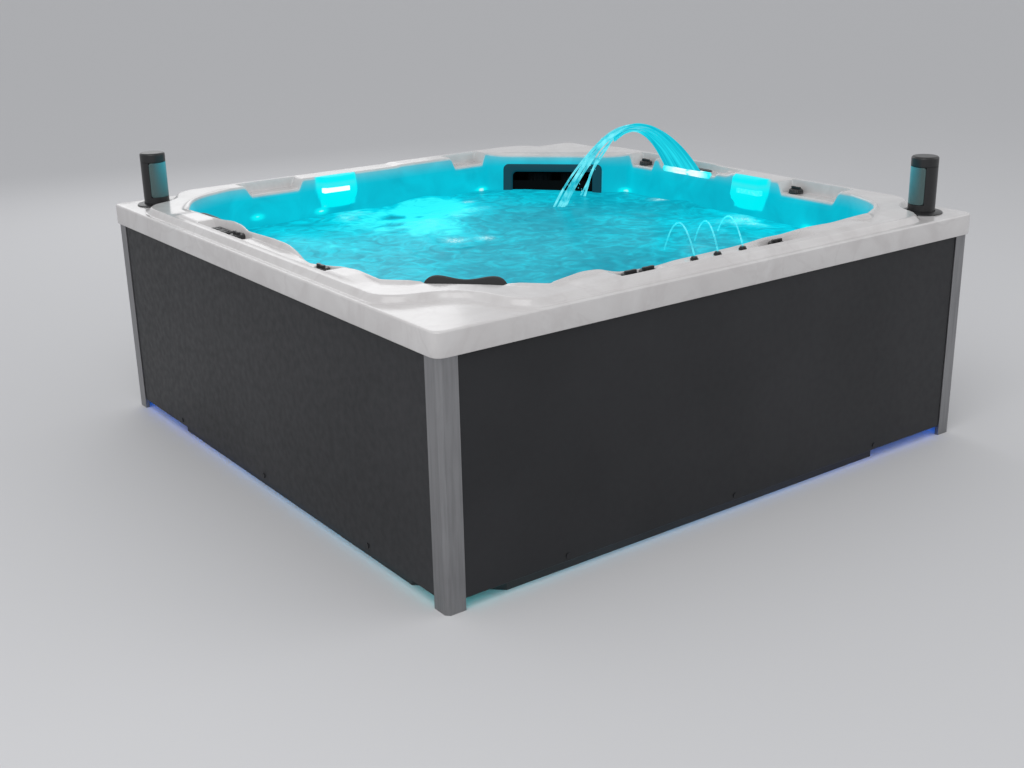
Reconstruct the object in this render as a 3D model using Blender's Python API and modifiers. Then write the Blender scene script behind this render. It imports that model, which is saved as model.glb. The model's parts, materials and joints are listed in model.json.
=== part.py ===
"""Square hot tub: lofted shell, framed cabinet, lift-up speakers, skimmer bay, fountain and pump bay."""

import math

import bmesh
import bpy
import numpy as np
from mathutils import Matrix, Vector
from mathutils.bvhtree import BVHTree

# Fits and overruns
SEAT_GAP = 0.0003
TURN_GAP = 0.0008
SLIDE_GAP = 0.0010
OVERRUN = 0.020

# Shell, heights from the floor up
WELL_FLOOR = 0.125
WELL_DEPTH = 0.315
SEAT_DISH = 0.015
LOWER_BACK = 0.085
UPPER_WALL = 0.245
RIM_RISE = 0.051
SEAT_HEIGHT = WELL_FLOOR + WELL_DEPTH
BACK_FOOT_HEIGHT = SEAT_HEIGHT + SEAT_DISH
WALL_MID_HEIGHT = BACK_FOOT_HEIGHT + LOWER_BACK
WALL_TOP_HEIGHT = WALL_MID_HEIGHT + UPPER_WALL
LIP_TOP = WALL_TOP_HEIGHT + RIM_RISE

# Shell, outside
HALF_SIDE = 1.150
FASCIA_HEIGHT = 0.075
SKIN = 0.008
LIP_EASE = 0.007
LIP_CORNER = 0.080
LEDGE_WIDTH = 0.018
RISER_RUN = 0.020
DECK_HEIGHT = 0.022
BACK_RISE = 0.004
PLATFORM_SHARE = 0.200
PLATFORM_FLARE_SHARE = 0.0478
PLATFORM = HALF_SIDE * PLATFORM_SHARE
PLATFORM_FLARE = HALF_SIDE * PLATFORM_FLARE_SHARE

# Shell, inside
DECK_WIDTH = 0.132
SEAT_CORNER_SHARE = 0.2947
SKIMMER_CORNER_SHARE = 0.4420
FRONT_CORNER_SHARE = 0.3450
SCOOP_DEPTH = 0.046
EDGE_ROUND = 0.012
PILASTER_DEPTH = 0.045
WALL_TOP_IN = 0.010
UPPER_WALL_IN = 0.035
LOWER_BACK_IN = 0.068
SEAT_DEPTH = 0.360
SEAT_EDGE_ROUND = 0.030
SEAT_WAVE = 0.024
ARM_RISE = 0.040
ARM_PITCH_SHARE = 0.6876
WELL_IN = 0.045
WELL_ROUND = 0.060
INNER_HALF = HALF_SIDE - DECK_WIDTH
WALL_TOP_HALF = INNER_HALF - WALL_TOP_IN
WALL_MID_HALF = WALL_TOP_HALF - UPPER_WALL_IN
BACK_FOOT_HALF = WALL_MID_HALF - LOWER_BACK_IN
SEAT_HALF = BACK_FOOT_HALF - SEAT_DEPTH
WELL_HALF = SEAT_HALF - WELL_IN
SEAT_CORNER_LEG = INNER_HALF * SEAT_CORNER_SHARE
SKIMMER_CORNER_LEG = INNER_HALF * SKIMMER_CORNER_SHARE
FRONT_CORNER_LEG = INNER_HALF * FRONT_CORNER_SHARE
ARM_PITCH = INNER_HALF * ARM_PITCH_SHARE

# Cabinet
FASCIA_OVERHANG = 0.011
POST_WIDTH = 0.065
POST_SKIN = 0.003
POST_CHAMFER = 0.012
PANEL_RECESS = 0.003
PANEL_THICKNESS = 0.012
PANEL_FOOT = 0.036
PANEL_EASE = 0.002
SCREW_RADIUS = 0.009
SCREW_HEAD = 0.003
SCREW_HEIGHT = 0.018
RAIL = 0.030
RAIL_CLEARANCE = 0.004
PAN_HEIGHT = 0.050
PAN_RECESS = 0.036
PAN_RIM = 0.050
PAN_FLOOR = 0.006
PAN_FRONT_CUT_SHARE = 0.174
PAN_SIDE_CUT_SHARE = 0.348
PAN_FRONT_CUT = HALF_SIDE * PAN_FRONT_CUT_SHARE
PAN_SIDE_CUT = HALF_SIDE * PAN_SIDE_CUT_SHARE
GLOW_WIDTH = 0.008
GLOW_HEIGHT = 0.010

# Speakers
SPEAKER_INSET = 0.130
SPEAKER_RADIUS = 0.0475
SPEAKER_RISE = 0.202
SPEAKER_HOLD = 0.032
SPEAKER_CAP = 0.036
SPEAKER_EASE = 0.006
FLANGE_RADIUS = 0.075
FLANGE_HEIGHT = 0.008
SLEEVE_WALL = 0.005
SLEEVE_DEPTH = 0.210
MESH_THICKNESS = 0.004
MESH_HEIGHT = 0.134
MESH_HALF_ANGLE = math.radians(62)

# Skimmer
SKIMMER_SHIFT = 0.020
COVER_WIDTH_SHARE = 0.500
COVER_ABOVE = 0.028
COVER_HEIGHT = 0.258
COVER_THICKNESS = 0.016
COVER_STANDOFF = 0.002
COVER_EASE = 0.004
WINDOW_SIDE = 0.042
WINDOW_HEAD = 0.034
WINDOW_SILL = 0.045
BAY_SIDE = 0.035
BAY_HEAD = 0.021
BAY_SILL = 0.017
BAY_DEPTH = 0.200
BAY_WALL = 0.006
WEIR_THICKNESS = 0.006
WEIR_PIN = 0.005
WEIR_SILL = 0.002
WEIR_HEAD = 0.039
FILTER_RADIUS = 0.055
FILTER_SLACK = 0.016
FILTER_CORE = 0.022
FILTER_PLEAT = 0.006
COVER_HALF_WIDTH = SKIMMER_CORNER_LEG * COVER_WIDTH_SHARE
COVER_TOP = WALL_TOP_HEIGHT + COVER_ABOVE
COVER_FOOT = COVER_TOP - COVER_HEIGHT
WINDOW_HALF_WIDTH = COVER_HALF_WIDTH - WINDOW_SIDE
WINDOW_TOP = COVER_TOP - WINDOW_HEAD
WINDOW_FOOT = COVER_FOOT + WINDOW_SILL
BAY_HALF_WIDTH = COVER_HALF_WIDTH - BAY_SIDE
BAY_TOP = COVER_TOP - BAY_HEAD
BAY_FOOT = COVER_FOOT + BAY_SILL
WEIR_FOOT = WINDOW_FOOT + WEIR_SILL
WEIR_TOP = WINDOW_TOP - WEIR_HEAD
FILTER_HEIGHT = BAY_TOP - BAY_FOOT - BAY_WALL * 2 - FILTER_SLACK

# Fountain, cascades and deck jets
FOUNTAIN_LENGTH = 0.300
FOUNTAIN_DEPTH = 0.044
FOUNTAIN_HEIGHT = 0.026
FOUNTAIN_LENS_LENGTH = 0.240
FOUNTAIN_LENS_HEIGHT = 0.012
FOUNTAIN_LENS_DEPTH = 0.010
CASCADE_LENGTH = 0.120
CASCADE_HEIGHT = 0.018
CASCADE_DROP = 0.032
CASCADE_PROUD = 0.004
DECK_JET_RADIUS = 0.016
DECK_JET_HEIGHT = 0.014
DECK_JET_BORE = 0.003

# Controls
KNOB_RADIUS = 0.029
KNOB_HEIGHT = 0.026
KNOB_BASE = 0.005
KNOB_GRIP = 0.009
KNOB_INSET = 0.0423
PAD_LENGTH = 0.120
PAD_WIDTH = 0.050
PAD_HEIGHT = 0.012
PAD_EASE = 0.004

# Jets and water fittings in the wall
SWIRL_RADIUS = 0.050
SWIRL_STEM = 0.030
SWIRL_DOME = 0.012
SWIRL_ABOVE = 0.110
SWIRL_LENGTH = 0.055
SWIRL_PORT = 0.009
SWIRL_HEIGHT = WALL_MID_HEIGHT + SWIRL_ABOVE
SUCTION_RADIUS = 0.062
SUCTION_STEM = 0.032
SUCTION_LENGTH = 0.060
SUCTION_LEAD = 0.024
SUCTION_SHARE = 0.397
SUCTION_HEIGHT = WELL_FLOOR + WELL_DEPTH * SUCTION_SHARE
LIGHT_RADIUS = 0.060
LIGHT_STEM = 0.045
DRAIN_RADIUS = 0.040
DRAIN_STEM = 0.025
FITTING_DOME = 0.012

# Head rests
REST_LENGTH = 0.250
SIDE_REST_LENGTH = 0.260
SIDE_REST_DROP = 0.026
REST_THICKNESS = 0.040
REST_HEIGHT = 0.085
REST_TOP = 0.024
REST_WAIST_SHARE = 0.55
REST_BACK_SHARE = 0.22

# Pump bay
PUMP_INSET = 0.350
PUMP_SHARE = 0.487
BAY_CENTRE = HALF_SIDE - PUMP_INSET
PUMP_PLACE = HALF_SIDE * PUMP_SHARE
MOTOR_RADIUS = 0.080
MOTOR_LENGTH = 0.270
FIN_HEIGHT = 0.006
WET_END_RADIUS = 0.092
WET_END_LENGTH = 0.110
PORT_RADIUS = 0.026
PORT_LENGTH = 0.045
PUMP_AXIS = 0.115
FOOT_WIDTH = 0.100
FOOT_THICKNESS = 0.012
PIPE_RADIUS = 0.025
HEATER_RADIUS = 0.038
HEATER_LENGTH = 0.360
HEATER_HEIGHT = 0.090
BOX_LENGTH = 0.380
BOX_DEPTH = 0.120
BOX_HEIGHT = 0.260
BOX_EASE = 0.008
BLOWER_RADIUS = 0.085
BLOWER_HEIGHT = 0.190
OZONE_LENGTH = 0.130
OZONE_DEPTH = 0.060
OZONE_HEIGHT = 0.150

# Facets
ROUND = 24
SMALL_ROUND = 16
BEND_POINTS = 4

# The four sides in the order front, right, back, left, each seen from outside with its run to the right.
# A row holds a place along the side as a share of HALF_SIDE, then how far the deck is scooped and the
# wall swells into a pilaster there, as shares of SCOOP_DEPTH and PILASTER_DEPTH.
SIDE_SHARES = (
    (
        (-0.574, 0.00, 0.0), (-0.478, 0.00, 0.0), (-0.413, 0.00, 0.0), (-0.374, 0.45, 0.0),
        (-0.261, 0.45, 0.0), (-0.217, 0.12, 0.0), (-0.122, 0.12, 0.0), (-0.035, 0.12, 0.0),
        (0.061, 0.12, 0.0), (0.122, 0.15, 0.0), (0.161, 0.45, 0.0), (0.257, 0.45, 0.0),
        (0.330, 0.00, 0.0), (0.487, 0.00, 0.0), (0.604, 0.00, 0.0),
    ),
    (
        (-0.604, 0.00, 0.0), (-0.565, 0.00, 0.0), (-0.535, 1.00, 0.0), (-0.314, 1.00, 0.0),
        (-0.292, 0.00, 0.0), (-0.284, 0.00, 0.0), (-0.257, 0.00, 1.0), (-0.200, 0.00, 1.1),
        (-0.143, 0.00, 1.0), (-0.113, 0.00, 0.0), (-0.035, 0.30, 0.0), (-0.002, 0.30, 0.0),
        (0.020, 0.60, 0.0), (0.298, 0.60, 0.0), (0.318, 0.00, 0.0), (0.330, 0.00, 0.0),
        (0.352, 1.00, 0.0), (0.458, 1.00, 0.0), (0.482, 0.00, 0.0),
    ),
    (
        (-0.480, 0.00, 0.0), (-0.463, 1.00, 0.0), (-0.337, 1.00, 0.0), (-0.313, 0.00, 0.0),
        (-0.191, 0.00, 0.0), (-0.091, 0.00, 0.0), (-0.065, 0.00, 0.0), (0.043, 0.00, 0.0),
        (0.135, 0.00, 0.0), (0.165, 0.00, 1.0), (0.222, 0.00, 1.1), (0.279, 0.00, 1.0),
        (0.309, 0.00, 0.0), (0.330, 0.00, 0.0), (0.354, 0.85, 0.0), (0.535, 0.85, 0.0),
        (0.565, 0.00, 0.0), (0.604, 0.00, 0.0),
    ),
    (
        (-0.604, 0.00, 0.0), (-0.522, 0.00, 0.0), (-0.400, 0.00, 0.0), (-0.365, 0.40, 0.0),
        (-0.160, 0.40, 0.0), (-0.122, 0.12, 0.0), (-0.017, 0.12, 0.0), (0.104, 0.15, 0.0),
        (0.191, 0.30, 0.0), (0.252, 0.50, 0.0), (0.380, 0.50, 0.0), (0.420, 0.00, 0.0),
        (0.478, 0.00, 0.0), (0.574, 0.00, 0.0),
    ),
)
BACK_STEP_SHARE = 0.078
BACK_STEP_RUN_SHARE = 0.028
EASE_SHARE = 0.45
SCOOP_BACK_SHARE = 0.14
SCOOP_FOOT_SHARE = 0.22
SCOOP_UNDER_SHARE = 0.06
EDGE_START_SHARE = 0.88

# Places along the sides, as shares of HALF_SIDE
FOUNTAIN_SHARE = 0.161
CASCADE_RIGHT_SHARE = -0.200
CASCADE_LEFT_SHARE = 0.222
DECK_JET_SHARES = (-0.122, -0.035, 0.061)
SWIRL_SHARES = (0.0, 0.148, -0.17, 0.0)
PANEL_SCREW_SHARES = (-0.61, 0.0, 0.61)
STUD_SHARES = (-0.5, 0.0, 0.5)
SIDE_REST_SHARES = (0.496, -0.498)
KNOB_PLACES = (
    ("knob_front_outer", 0, -0.348),
    ("knob_front_inner", 0, -0.287),
    ("knob_front_right", 0, 0.196),
    ("knob_right", 1, -0.345),
    ("knob_back_right", 1, 0.425),
    ("knob_left_back", 3, -0.187),
    ("knob_left_front", 3, 0.330),
)
PAD_SHARE = -0.300

# Corner numbers follow the sides: each corner ends the side of its number
RIGHT, BACK, LEFT, FRONT = range(4)


def clear_scene():
    """Remove what a new file holds."""
    for item in list(bpy.data.objects):
        bpy.data.objects.remove(item, do_unlink=True)


def new_collection(name):
    """A collection linked to the scene."""
    group = bpy.data.collections.new(name)
    bpy.context.scene.collection.children.link(group)
    return group


def material(name, colour, roughness, metallic=0.0):
    """A plain finish."""
    made = bpy.data.materials.new(name)
    made.use_nodes = True
    shader = made.node_tree.nodes["Principled BSDF"]
    shader.inputs["Base Color"].default_value = (*colour, 1.0)
    shader.inputs["Roughness"].default_value = roughness
    shader.inputs["Metallic"].default_value = metallic
    made.diffuse_color = (*colour, 1.0)
    return made


clear_scene()
TUB = new_collection("hot_tub")
CUTTERS = new_collection("cutters")

ACRYLIC = material("white_marbled_acrylic", (0.82, 0.80, 0.79), 0.12)
PANEL = material("graphite_composite_panel", (0.030, 0.030, 0.034), 0.45)
ANODISED = material("anodised_corner_post", (0.42, 0.42, 0.43), 0.35, 1.0)
BLACK = material("black_moulded_plastic", (0.012, 0.012, 0.013), 0.35)
SOFT = material("black_head_rest_foam", (0.015, 0.015, 0.016), 0.6)
GRILLE = material("dark_speaker_mesh", (0.05, 0.05, 0.055), 0.5, 0.6)
LENS = material("frosted_light_lens", (0.70, 0.92, 0.95), 0.3)
STEEL = material("satin_stainless_steel", (0.60, 0.60, 0.61), 0.28, 1.0)
TIMBER = material("treated_timber", (0.36, 0.24, 0.12), 0.8)
PAN = material("black_base_pan", (0.02, 0.02, 0.02), 0.6)
PIPE = material("white_pipe", (0.80, 0.80, 0.78), 0.4)
MOTOR = material("motor_enamel", (0.05, 0.08, 0.12), 0.4)
PAPER = material("pleated_filter_cloth", (0.85, 0.86, 0.88), 0.9)
HOUSING = material("grey_equipment_case", (0.25, 0.26, 0.27), 0.5)


def turned_to(degrees):
    """A turn about the vertical."""
    return Matrix.Rotation(math.radians(degrees), 4, "Z")


def side_frame(side):
    """Frame of a side: X runs to the right seen from outside, and minus Y points out of the tub."""
    return turned_to(90 * side)


def corner_frame(corner):
    """Frame of a corner: minus Y points out of the tub over that corner."""
    return turned_to(90 * corner + 45)


def aimed(point, direction):
    """A frame at a point whose Z looks along a direction."""
    turn = Vector((0, 0, 1)).rotation_difference(Vector(direction).normalized())
    return Matrix.Translation(Vector(point)) @ turn.to_matrix().to_4x4()


def keep(piece, look, smooth=False):
    """Put a finished piece in the tub's collection with its finish."""
    TUB.objects.link(piece)
    piece.data.materials.append(look)
    if smooth:
        piece.data.shade_smooth()
        piece.data.set_sharp_from_angle(angle=math.radians(35))
    return piece


def solid(name, form, look, place=None, smooth=False):
    """An object from a finished bmesh."""
    mesh = bpy.data.meshes.new(name)
    form.to_mesh(mesh)
    form.free()
    piece = bpy.data.objects.new(name, mesh)
    if place is not None:
        piece.matrix_world = place
    return keep(piece, look, smooth)


def ease(piece, width, segments=1, angle=40):
    """Round a piece's sharp edges."""
    bevel = piece.modifiers.new("ease", "BEVEL")
    bevel.width = width
    bevel.segments = segments
    bevel.limit_method = "ANGLE"
    bevel.angle_limit = math.radians(angle)
    return piece


def box(name, low, high, look, place=None, edge=0.0):
    """A block between two corners of its frame."""
    low, high = Vector(low), Vector(high)
    form = bmesh.new()
    bmesh.ops.create_cube(form, size=1.0)
    form.transform(Matrix.Translation((low + high) / 2) @ Matrix.Diagonal((*(high - low), 1.0)))
    piece = solid(name, form, look, place)
    return ease(piece, edge) if edge else piece


def rod(name, radius, low, high, look, place=None, sides=ROUND):
    """A round bar along its frame's Z, between two heights."""
    form = bmesh.new()
    middle = Matrix.Translation((0, 0, (low + high) / 2))
    bmesh.ops.create_cone(form, cap_ends=True, segments=sides, radius1=radius, radius2=radius,
                          depth=high - low, matrix=middle)
    return solid(name, form, look, place, smooth=True)


def turned(name, profile, look, place=None, sides=ROUND):
    """A turned piece: its profile of radii and heights runs down the outer side and is spun round Z."""
    mesh = bpy.data.meshes.new(name)
    points = [(radius, 0, height) for radius, height in profile]
    mesh.from_pydata(points, [(i, i + 1) for i in range(len(points) - 1)], [])
    piece = bpy.data.objects.new(name, mesh)
    if place is not None:
        piece.matrix_world = place
    keep(piece, look)
    screw = piece.modifiers.new("spin", "SCREW")
    screw.steps = sides
    screw.render_steps = sides
    screw.use_merge_vertices = True
    screw.merge_threshold = 0.00001
    screw.use_smooth_shade = True
    return piece


def to_mesh(piece):
    """Turn a curve into a mesh with its caps joined to its sides."""
    bpy.context.view_layer.update()
    graph = bpy.context.evaluated_depsgraph_get()
    mesh = bpy.data.meshes.new_from_object(piece.evaluated_get(graph))
    form = bmesh.new()
    form.from_mesh(mesh)
    bmesh.ops.remove_doubles(form, verts=form.verts, dist=0.00001)
    form.to_mesh(mesh)
    form.free()
    made = bpy.data.objects.new(piece.name, mesh)
    made.matrix_world = piece.matrix_world.copy()
    name = piece.name
    look = piece.data.materials[0]
    bpy.data.objects.remove(piece, do_unlink=True)
    made.name = name
    TUB.objects.link(made)
    made.data.materials.clear()
    made.data.materials.append(look)
    return made


def plate(name, outlines, low, high, look, place=None):
    """A flat outline, with holes where further outlines lie inside the first, raised between two heights."""
    curve = bpy.data.curves.new(name, "CURVE")
    curve.dimensions = "2D"
    curve.fill_mode = "BOTH"
    curve.extrude = (high - low) / 2
    for outline in outlines:
        spline = curve.splines.new("POLY")
        spline.points.add(len(outline) - 1)
        for point, (x, y) in zip(spline.points, outline):
            point.co = (x, y, 0, 1)
        spline.use_cyclic_u = True
    piece = bpy.data.objects.new(name, curve)
    raised = Matrix.Translation((0, 0, (low + high) / 2))
    piece.matrix_world = raised if place is None else place @ raised
    keep(piece, look)
    return to_mesh(piece)


def tube(name, points, radius, look, place=None, ring=1):
    """A pipe along a line of points."""
    curve = bpy.data.curves.new(name, "CURVE")
    curve.dimensions = "3D"
    curve.bevel_depth = radius
    curve.bevel_resolution = ring
    curve.use_fill_caps = True
    spline = curve.splines.new("POLY")
    spline.points.add(len(points) - 1)
    for knot, (x, y, z) in zip(spline.points, points):
        knot.co = (x, y, z, 1)
    piece = bpy.data.objects.new(name, curve)
    if place is not None:
        piece.matrix_world = place
    keep(piece, look)
    return to_mesh(piece)


def hide_as_cutter(piece):
    """Keep a piece only as a tool for Booleans."""
    TUB.objects.unlink(piece)
    CUTTERS.objects.link(piece)
    piece.hide_render = True
    piece.display_type = "WIRE"
    return piece


def carve(target, cutter):
    """Take a cutter's shape out of a piece."""
    cut = target.modifiers.new("cut", "BOOLEAN")
    cut.operation = "DIFFERENCE"
    cut.object = hide_as_cutter(cutter)


def unite(target, other):
    """Make another shape part of a piece."""
    join = target.modifiers.new("join", "BOOLEAN")
    join.operation = "UNION"
    join.object = hide_as_cutter(other)


def rectangle(half_x, half_y, middle=(0.0, 0.0)):
    """Corner points of a rectangle, in order."""
    x, y = middle
    return [(x - half_x, y - half_y), (x + half_x, y - half_y), (x + half_x, y + half_y), (x - half_x, y + half_y)]


# Shell


def eased_bends(points, share):
    """A bent line's inner points, each replaced by a short curve between its two arms."""
    steps = np.linspace(0, 1, BEND_POINTS)[:, None]
    curves = []
    for before, bend, after in zip(points, points[1:], points[2:]):
        start = bend + (before - bend) * share
        end = bend + (after - bend) * share
        curves.append((1 - steps) ** 2 * start + 2 * steps * (1 - steps) * bend + steps**2 * end)
    return np.concatenate(curves)


def corner_bends(style, corner, half, scale):
    """Three bends of a ring at a corner, as distances back from the sides' crossing."""
    legs = (SEAT_CORNER_LEG, SKIMMER_CORNER_LEG, SEAT_CORNER_LEG, FRONT_CORNER_LEG)
    if style == "inner":
        grown = (half - INNER_HALF * scale) * (2 - math.sqrt(2))
        leg = legs[corner] * scale + grown
        middle = leg / 2
        return (leg, 0.0), (middle, middle), (0.0, leg)
    if style == "riser":
        run = PLATFORM + PLATFORM_FLARE
        return (run, 0.0), (PLATFORM, PLATFORM), (0.0, run)
    return (LIP_CORNER, 0.0), (0.0, 0.0), (0.0, LIP_CORNER)


def ring_plan(half, style, scale=1.0, pilaster=0.0, wave=0.0):
    """One ring seen from above: four sides at a distance from the middle, and four corners of a style.

    Beside the ring's points it gives each point's scoop share and its place along its side.
    """
    points, scoops, runs = [], [], []
    for side, rows in enumerate(SIDE_SHARES):
        table = np.array(rows)
        along = table[:, 0] * HALF_SIDE * scale
        reach = np.where(along < 0, along / along[0], along / along[-1])
        arms = np.cos(2 * math.pi * along / (ARM_PITCH * scale)) * (1 - reach**6)
        out = half - pilaster * table[:, 2] - wave * arms
        following = SIDE_SHARES[(side + 1) % 4][0][0] * HALF_SIDE * scale
        bends = [(half - a, half - b) for a, b in corner_bends(style, side, half, scale)]
        path = np.array([(along[-1], out[-1]), *bends, (half, -following)])
        corner = eased_bends(path, EASE_SHARE)
        run = np.concatenate([np.stack([along, out], axis=1), corner])
        angle = math.radians(90 * side)
        x = run[:, 0] * math.cos(angle) + run[:, 1] * math.sin(angle)
        y = run[:, 0] * math.sin(angle) - run[:, 1] * math.cos(angle)
        points.append(np.stack([x, y], axis=1))
        scoops.append(np.concatenate([table[:, 1], np.zeros(len(corner))]))
        runs.append(np.concatenate([along, np.full(len(corner), ARM_PITCH / 2)]))
    return np.concatenate(points), np.concatenate(scoops), np.concatenate(runs)


def deck_level(plan):
    """Height of the deck over a plan: raised a step round the back corner."""
    inward = plan.min(axis=1) / HALF_SIDE
    step = np.clip((inward - BACK_STEP_SHARE) / BACK_STEP_RUN_SHARE + 0.5, 0, 1)
    return LIP_TOP + DECK_HEIGHT + BACK_RISE * step


def with_height(plan, height):
    """Points of a ring from its plan and its heights."""
    return np.column_stack([plan, np.broadcast_to(height, len(plan))])


def deck_ring(share, scooped, wall_shift=0.0, sunk=0.0):
    """A ring on the deck, a share of the way from the riser's top to the inner edge."""
    outer, scoop, _ = ring_plan(HALF_SIDE - LEDGE_WIDTH - RISER_RUN - sunk, "riser")
    inner, _, _ = ring_plan(INNER_HALF + wall_shift, "inner", pilaster=PILASTER_DEPTH)
    plan = outer + (inner - outer) * share
    height = deck_level(outer) - scooped * SCOOP_DEPTH * scoop - sunk
    return plan, height


def shell_rings():
    """The shell's skin as rings, from the middle of its underside out to the fascia and back over its top."""
    under, top = [], []
    fascia_foot = LIP_TOP - FASCIA_HEIGHT
    lip, _, _ = ring_plan(HALF_SIDE, "lip")
    eased, _, _ = ring_plan(HALF_SIDE - LIP_EASE, "lip")
    inside, _, _ = ring_plan(HALF_SIDE - SKIN, "lip")
    riser, _, _ = ring_plan(HALF_SIDE - LEDGE_WIDTH, "riser")
    riser_back, _, _ = ring_plan(HALF_SIDE - LEDGE_WIDTH - SKIN, "riser")
    top.append(with_height(lip, fascia_foot))
    top.append(with_height(lip, LIP_TOP - LIP_EASE))
    top.append(with_height(eased, LIP_TOP))
    top.append(with_height(riser, LIP_TOP))
    for share, scooped in ((0.0, 0.0), (SCOOP_BACK_SHARE, 0.0), (SCOOP_FOOT_SHARE, 1.0), (EDGE_START_SHARE, 1.0)):
        top.append(with_height(*deck_ring(share, scooped)))
    edge, edge_height = deck_ring(1.0, 1.0)
    top.append(with_height(edge, edge_height - EDGE_ROUND))

    under.append(with_height(inside, fascia_foot))
    under.append(with_height(inside, LIP_TOP - SKIN))
    under.append(with_height(riser_back, LIP_TOP - SKIN))
    under.append(with_height(*deck_ring(0.0, 0.0, SKIN, SKIN)))
    under.append(with_height(*deck_ring(SCOOP_UNDER_SHARE, 1.0, SKIN, SKIN)))
    edge_back, edge_back_height = deck_ring(1.0, 1.0, SKIN, SKIN)
    under.append(with_height(edge_back, edge_back_height - EDGE_ROUND))

    walls = (
        (WALL_TOP_HALF, WALL_TOP_HEIGHT, PILASTER_DEPTH, 0.0, 0.0),
        (WALL_MID_HALF, WALL_MID_HEIGHT, PILASTER_DEPTH / 2, 0.0, 0.0),
        (BACK_FOOT_HALF, BACK_FOOT_HEIGHT, 0.0, 0.0, ARM_RISE),
        (SEAT_HALF, SEAT_HEIGHT, 0.0, SEAT_WAVE, ARM_RISE),
        (SEAT_HALF - SEAT_EDGE_ROUND, SEAT_HEIGHT - SEAT_EDGE_ROUND, 0.0, SEAT_WAVE, 0.0),
        (WELL_HALF, WELL_FLOOR + WELL_ROUND, 0.0, 0.0, 0.0),
        (WELL_HALF - WELL_ROUND, WELL_FLOOR, 0.0, 0.0, 0.0),
    )
    for half, height, pilaster, wave, arm in walls:
        for shift, rings in ((0.0, top), (SKIN, under)):
            scale = min(1.0, half / INNER_HALF)
            plan, _, run = ring_plan(half + shift, "inner", scale, pilaster, wave)
            ridge = arm * np.cos(math.pi * run / (ARM_PITCH * scale)) ** 8
            rings.append(with_height(plan, height - shift - arm / 2 + ridge))
    return under[::-1] + top


def acrylic_shell():
    """The shell: rings joined into one closed skin, with a flat floor above and below."""
    rings = shell_rings()
    count = len(rings[0])
    points = np.concatenate(rings)
    last = (len(rings) - 1) * count
    faces = [tuple(range(count))[::-1], tuple(range(last, last + count))]
    for ring in range(len(rings) - 1):
        for i in range(count):
            j = (i + 1) % count
            start, end = ring * count, (ring + 1) * count
            faces.append((start + i, start + j, end + j, end + i))
    mesh = bpy.data.meshes.new("acrylic_shell")
    mesh.from_pydata([tuple(p) for p in points], [], faces)
    mesh.validate()
    shell = bpy.data.objects.new("acrylic_shell", mesh)
    keep(shell, ACRYLIC, smooth=True)
    return shell


def wall_place(surface, frame, along, height):
    """A place on the inner wall at a height, reached from the middle of the tub; its Z looks into the tub."""
    start = frame @ Vector((along, 0, height))
    point, facing, _, _ = surface.ray_cast(start, frame.to_3x3() @ Vector((0, -1, 0)))
    return aimed(point, facing)


def leaning_place(surface, frame, along, height):
    """A place on the inner wall with X along the wall, Y into the tub and Z up the leaning wall."""
    start = frame @ Vector((along, 0, height))
    point, facing, _, _ = surface.ray_cast(start, frame.to_3x3() @ Vector((0, -1, 0)))
    across = frame.to_3x3() @ Vector((1, 0, 0))
    turn = Matrix((across, facing, across.cross(facing))).transposed()
    return Matrix.Translation(point) @ turn.to_4x4()


def bay_slope():
    """How far the back corner's wall leans out for each metre of its height."""
    spread = (2 - SKIMMER_CORNER_LEG / INNER_HALF) / math.sqrt(2)
    return spread, spread * (WALL_TOP_HALF - WALL_MID_HALF) / (WALL_TOP_HEIGHT - WALL_MID_HEIGHT)


def scoop_floor(side, share):
    """Height of the scooped deck at a place along a side."""
    rows = np.array(SIDE_SHARES[side])
    sunk = np.interp(share, rows[:, 0], rows[:, 1]) * SCOOP_DEPTH
    point = side_frame(side) @ Vector((share * HALF_SIDE, -HALF_SIDE, 0))
    return float(deck_level(np.array([(point.x, point.y)]))[0] - sunk)


# Cabinet


def corner_posts():
    """Four lipped corner sections standing on the floor under the fascia."""
    face = HALF_SIDE - FASCIA_OVERHANG
    inner = face - POST_SKIN
    edge = face - POST_WIDTH
    lip = face - PANEL_RECESS - PANEL_THICKNESS
    outline = [
        (edge, -face), (face - POST_CHAMFER, -face), (face, -face + POST_CHAMFER), (face, -edge),
        (lip, -edge), (lip, -edge - POST_SKIN), (inner, -edge - POST_SKIN),
        (inner, -inner + POST_CHAMFER), (inner - POST_CHAMFER, -inner),
        (edge + POST_SKIN, -inner), (edge + POST_SKIN, -lip), (edge, -lip),
    ]
    top = LIP_TOP - FASCIA_HEIGHT - SEAT_GAP
    for corner, name in enumerate(("right", "back", "left", "front")):
        plate(f"corner_post_{name}", [outline], 0.0, top, ANODISED, side_frame(corner))


def side_panels():
    """Four cabinet panels, each with three clip screws along its foot."""
    face = HALF_SIDE - FASCIA_OVERHANG - PANEL_RECESS
    half = HALF_SIDE - FASCIA_OVERHANG - POST_WIDTH - SLIDE_GAP
    top = LIP_TOP - FASCIA_HEIGHT - SEAT_GAP
    names = ("service_panel", "side_panel_right", "side_panel_back", "side_panel_left")
    for side, name in enumerate(names):
        frame = side_frame(side)
        low = (-half, -face, PANEL_FOOT)
        high = (half, -face + PANEL_THICKNESS, top)
        panel = box(name, low, high, PANEL, frame, edge=PANEL_EASE)
        for share in PANEL_SCREW_SHARES:
            head = Vector((share * HALF_SIDE, -face, PANEL_FOOT + SCREW_HEIGHT))
            turn = Matrix.Rotation(math.radians(90), 4, "X")
            place = frame @ Matrix.Translation(head) @ turn
            screw = rod(f"{name}_screw", SCREW_RADIUS, -PANEL_THICKNESS / 2, SCREW_HEAD, PANEL, place, sides=8)
            unite(panel, screw)


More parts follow.
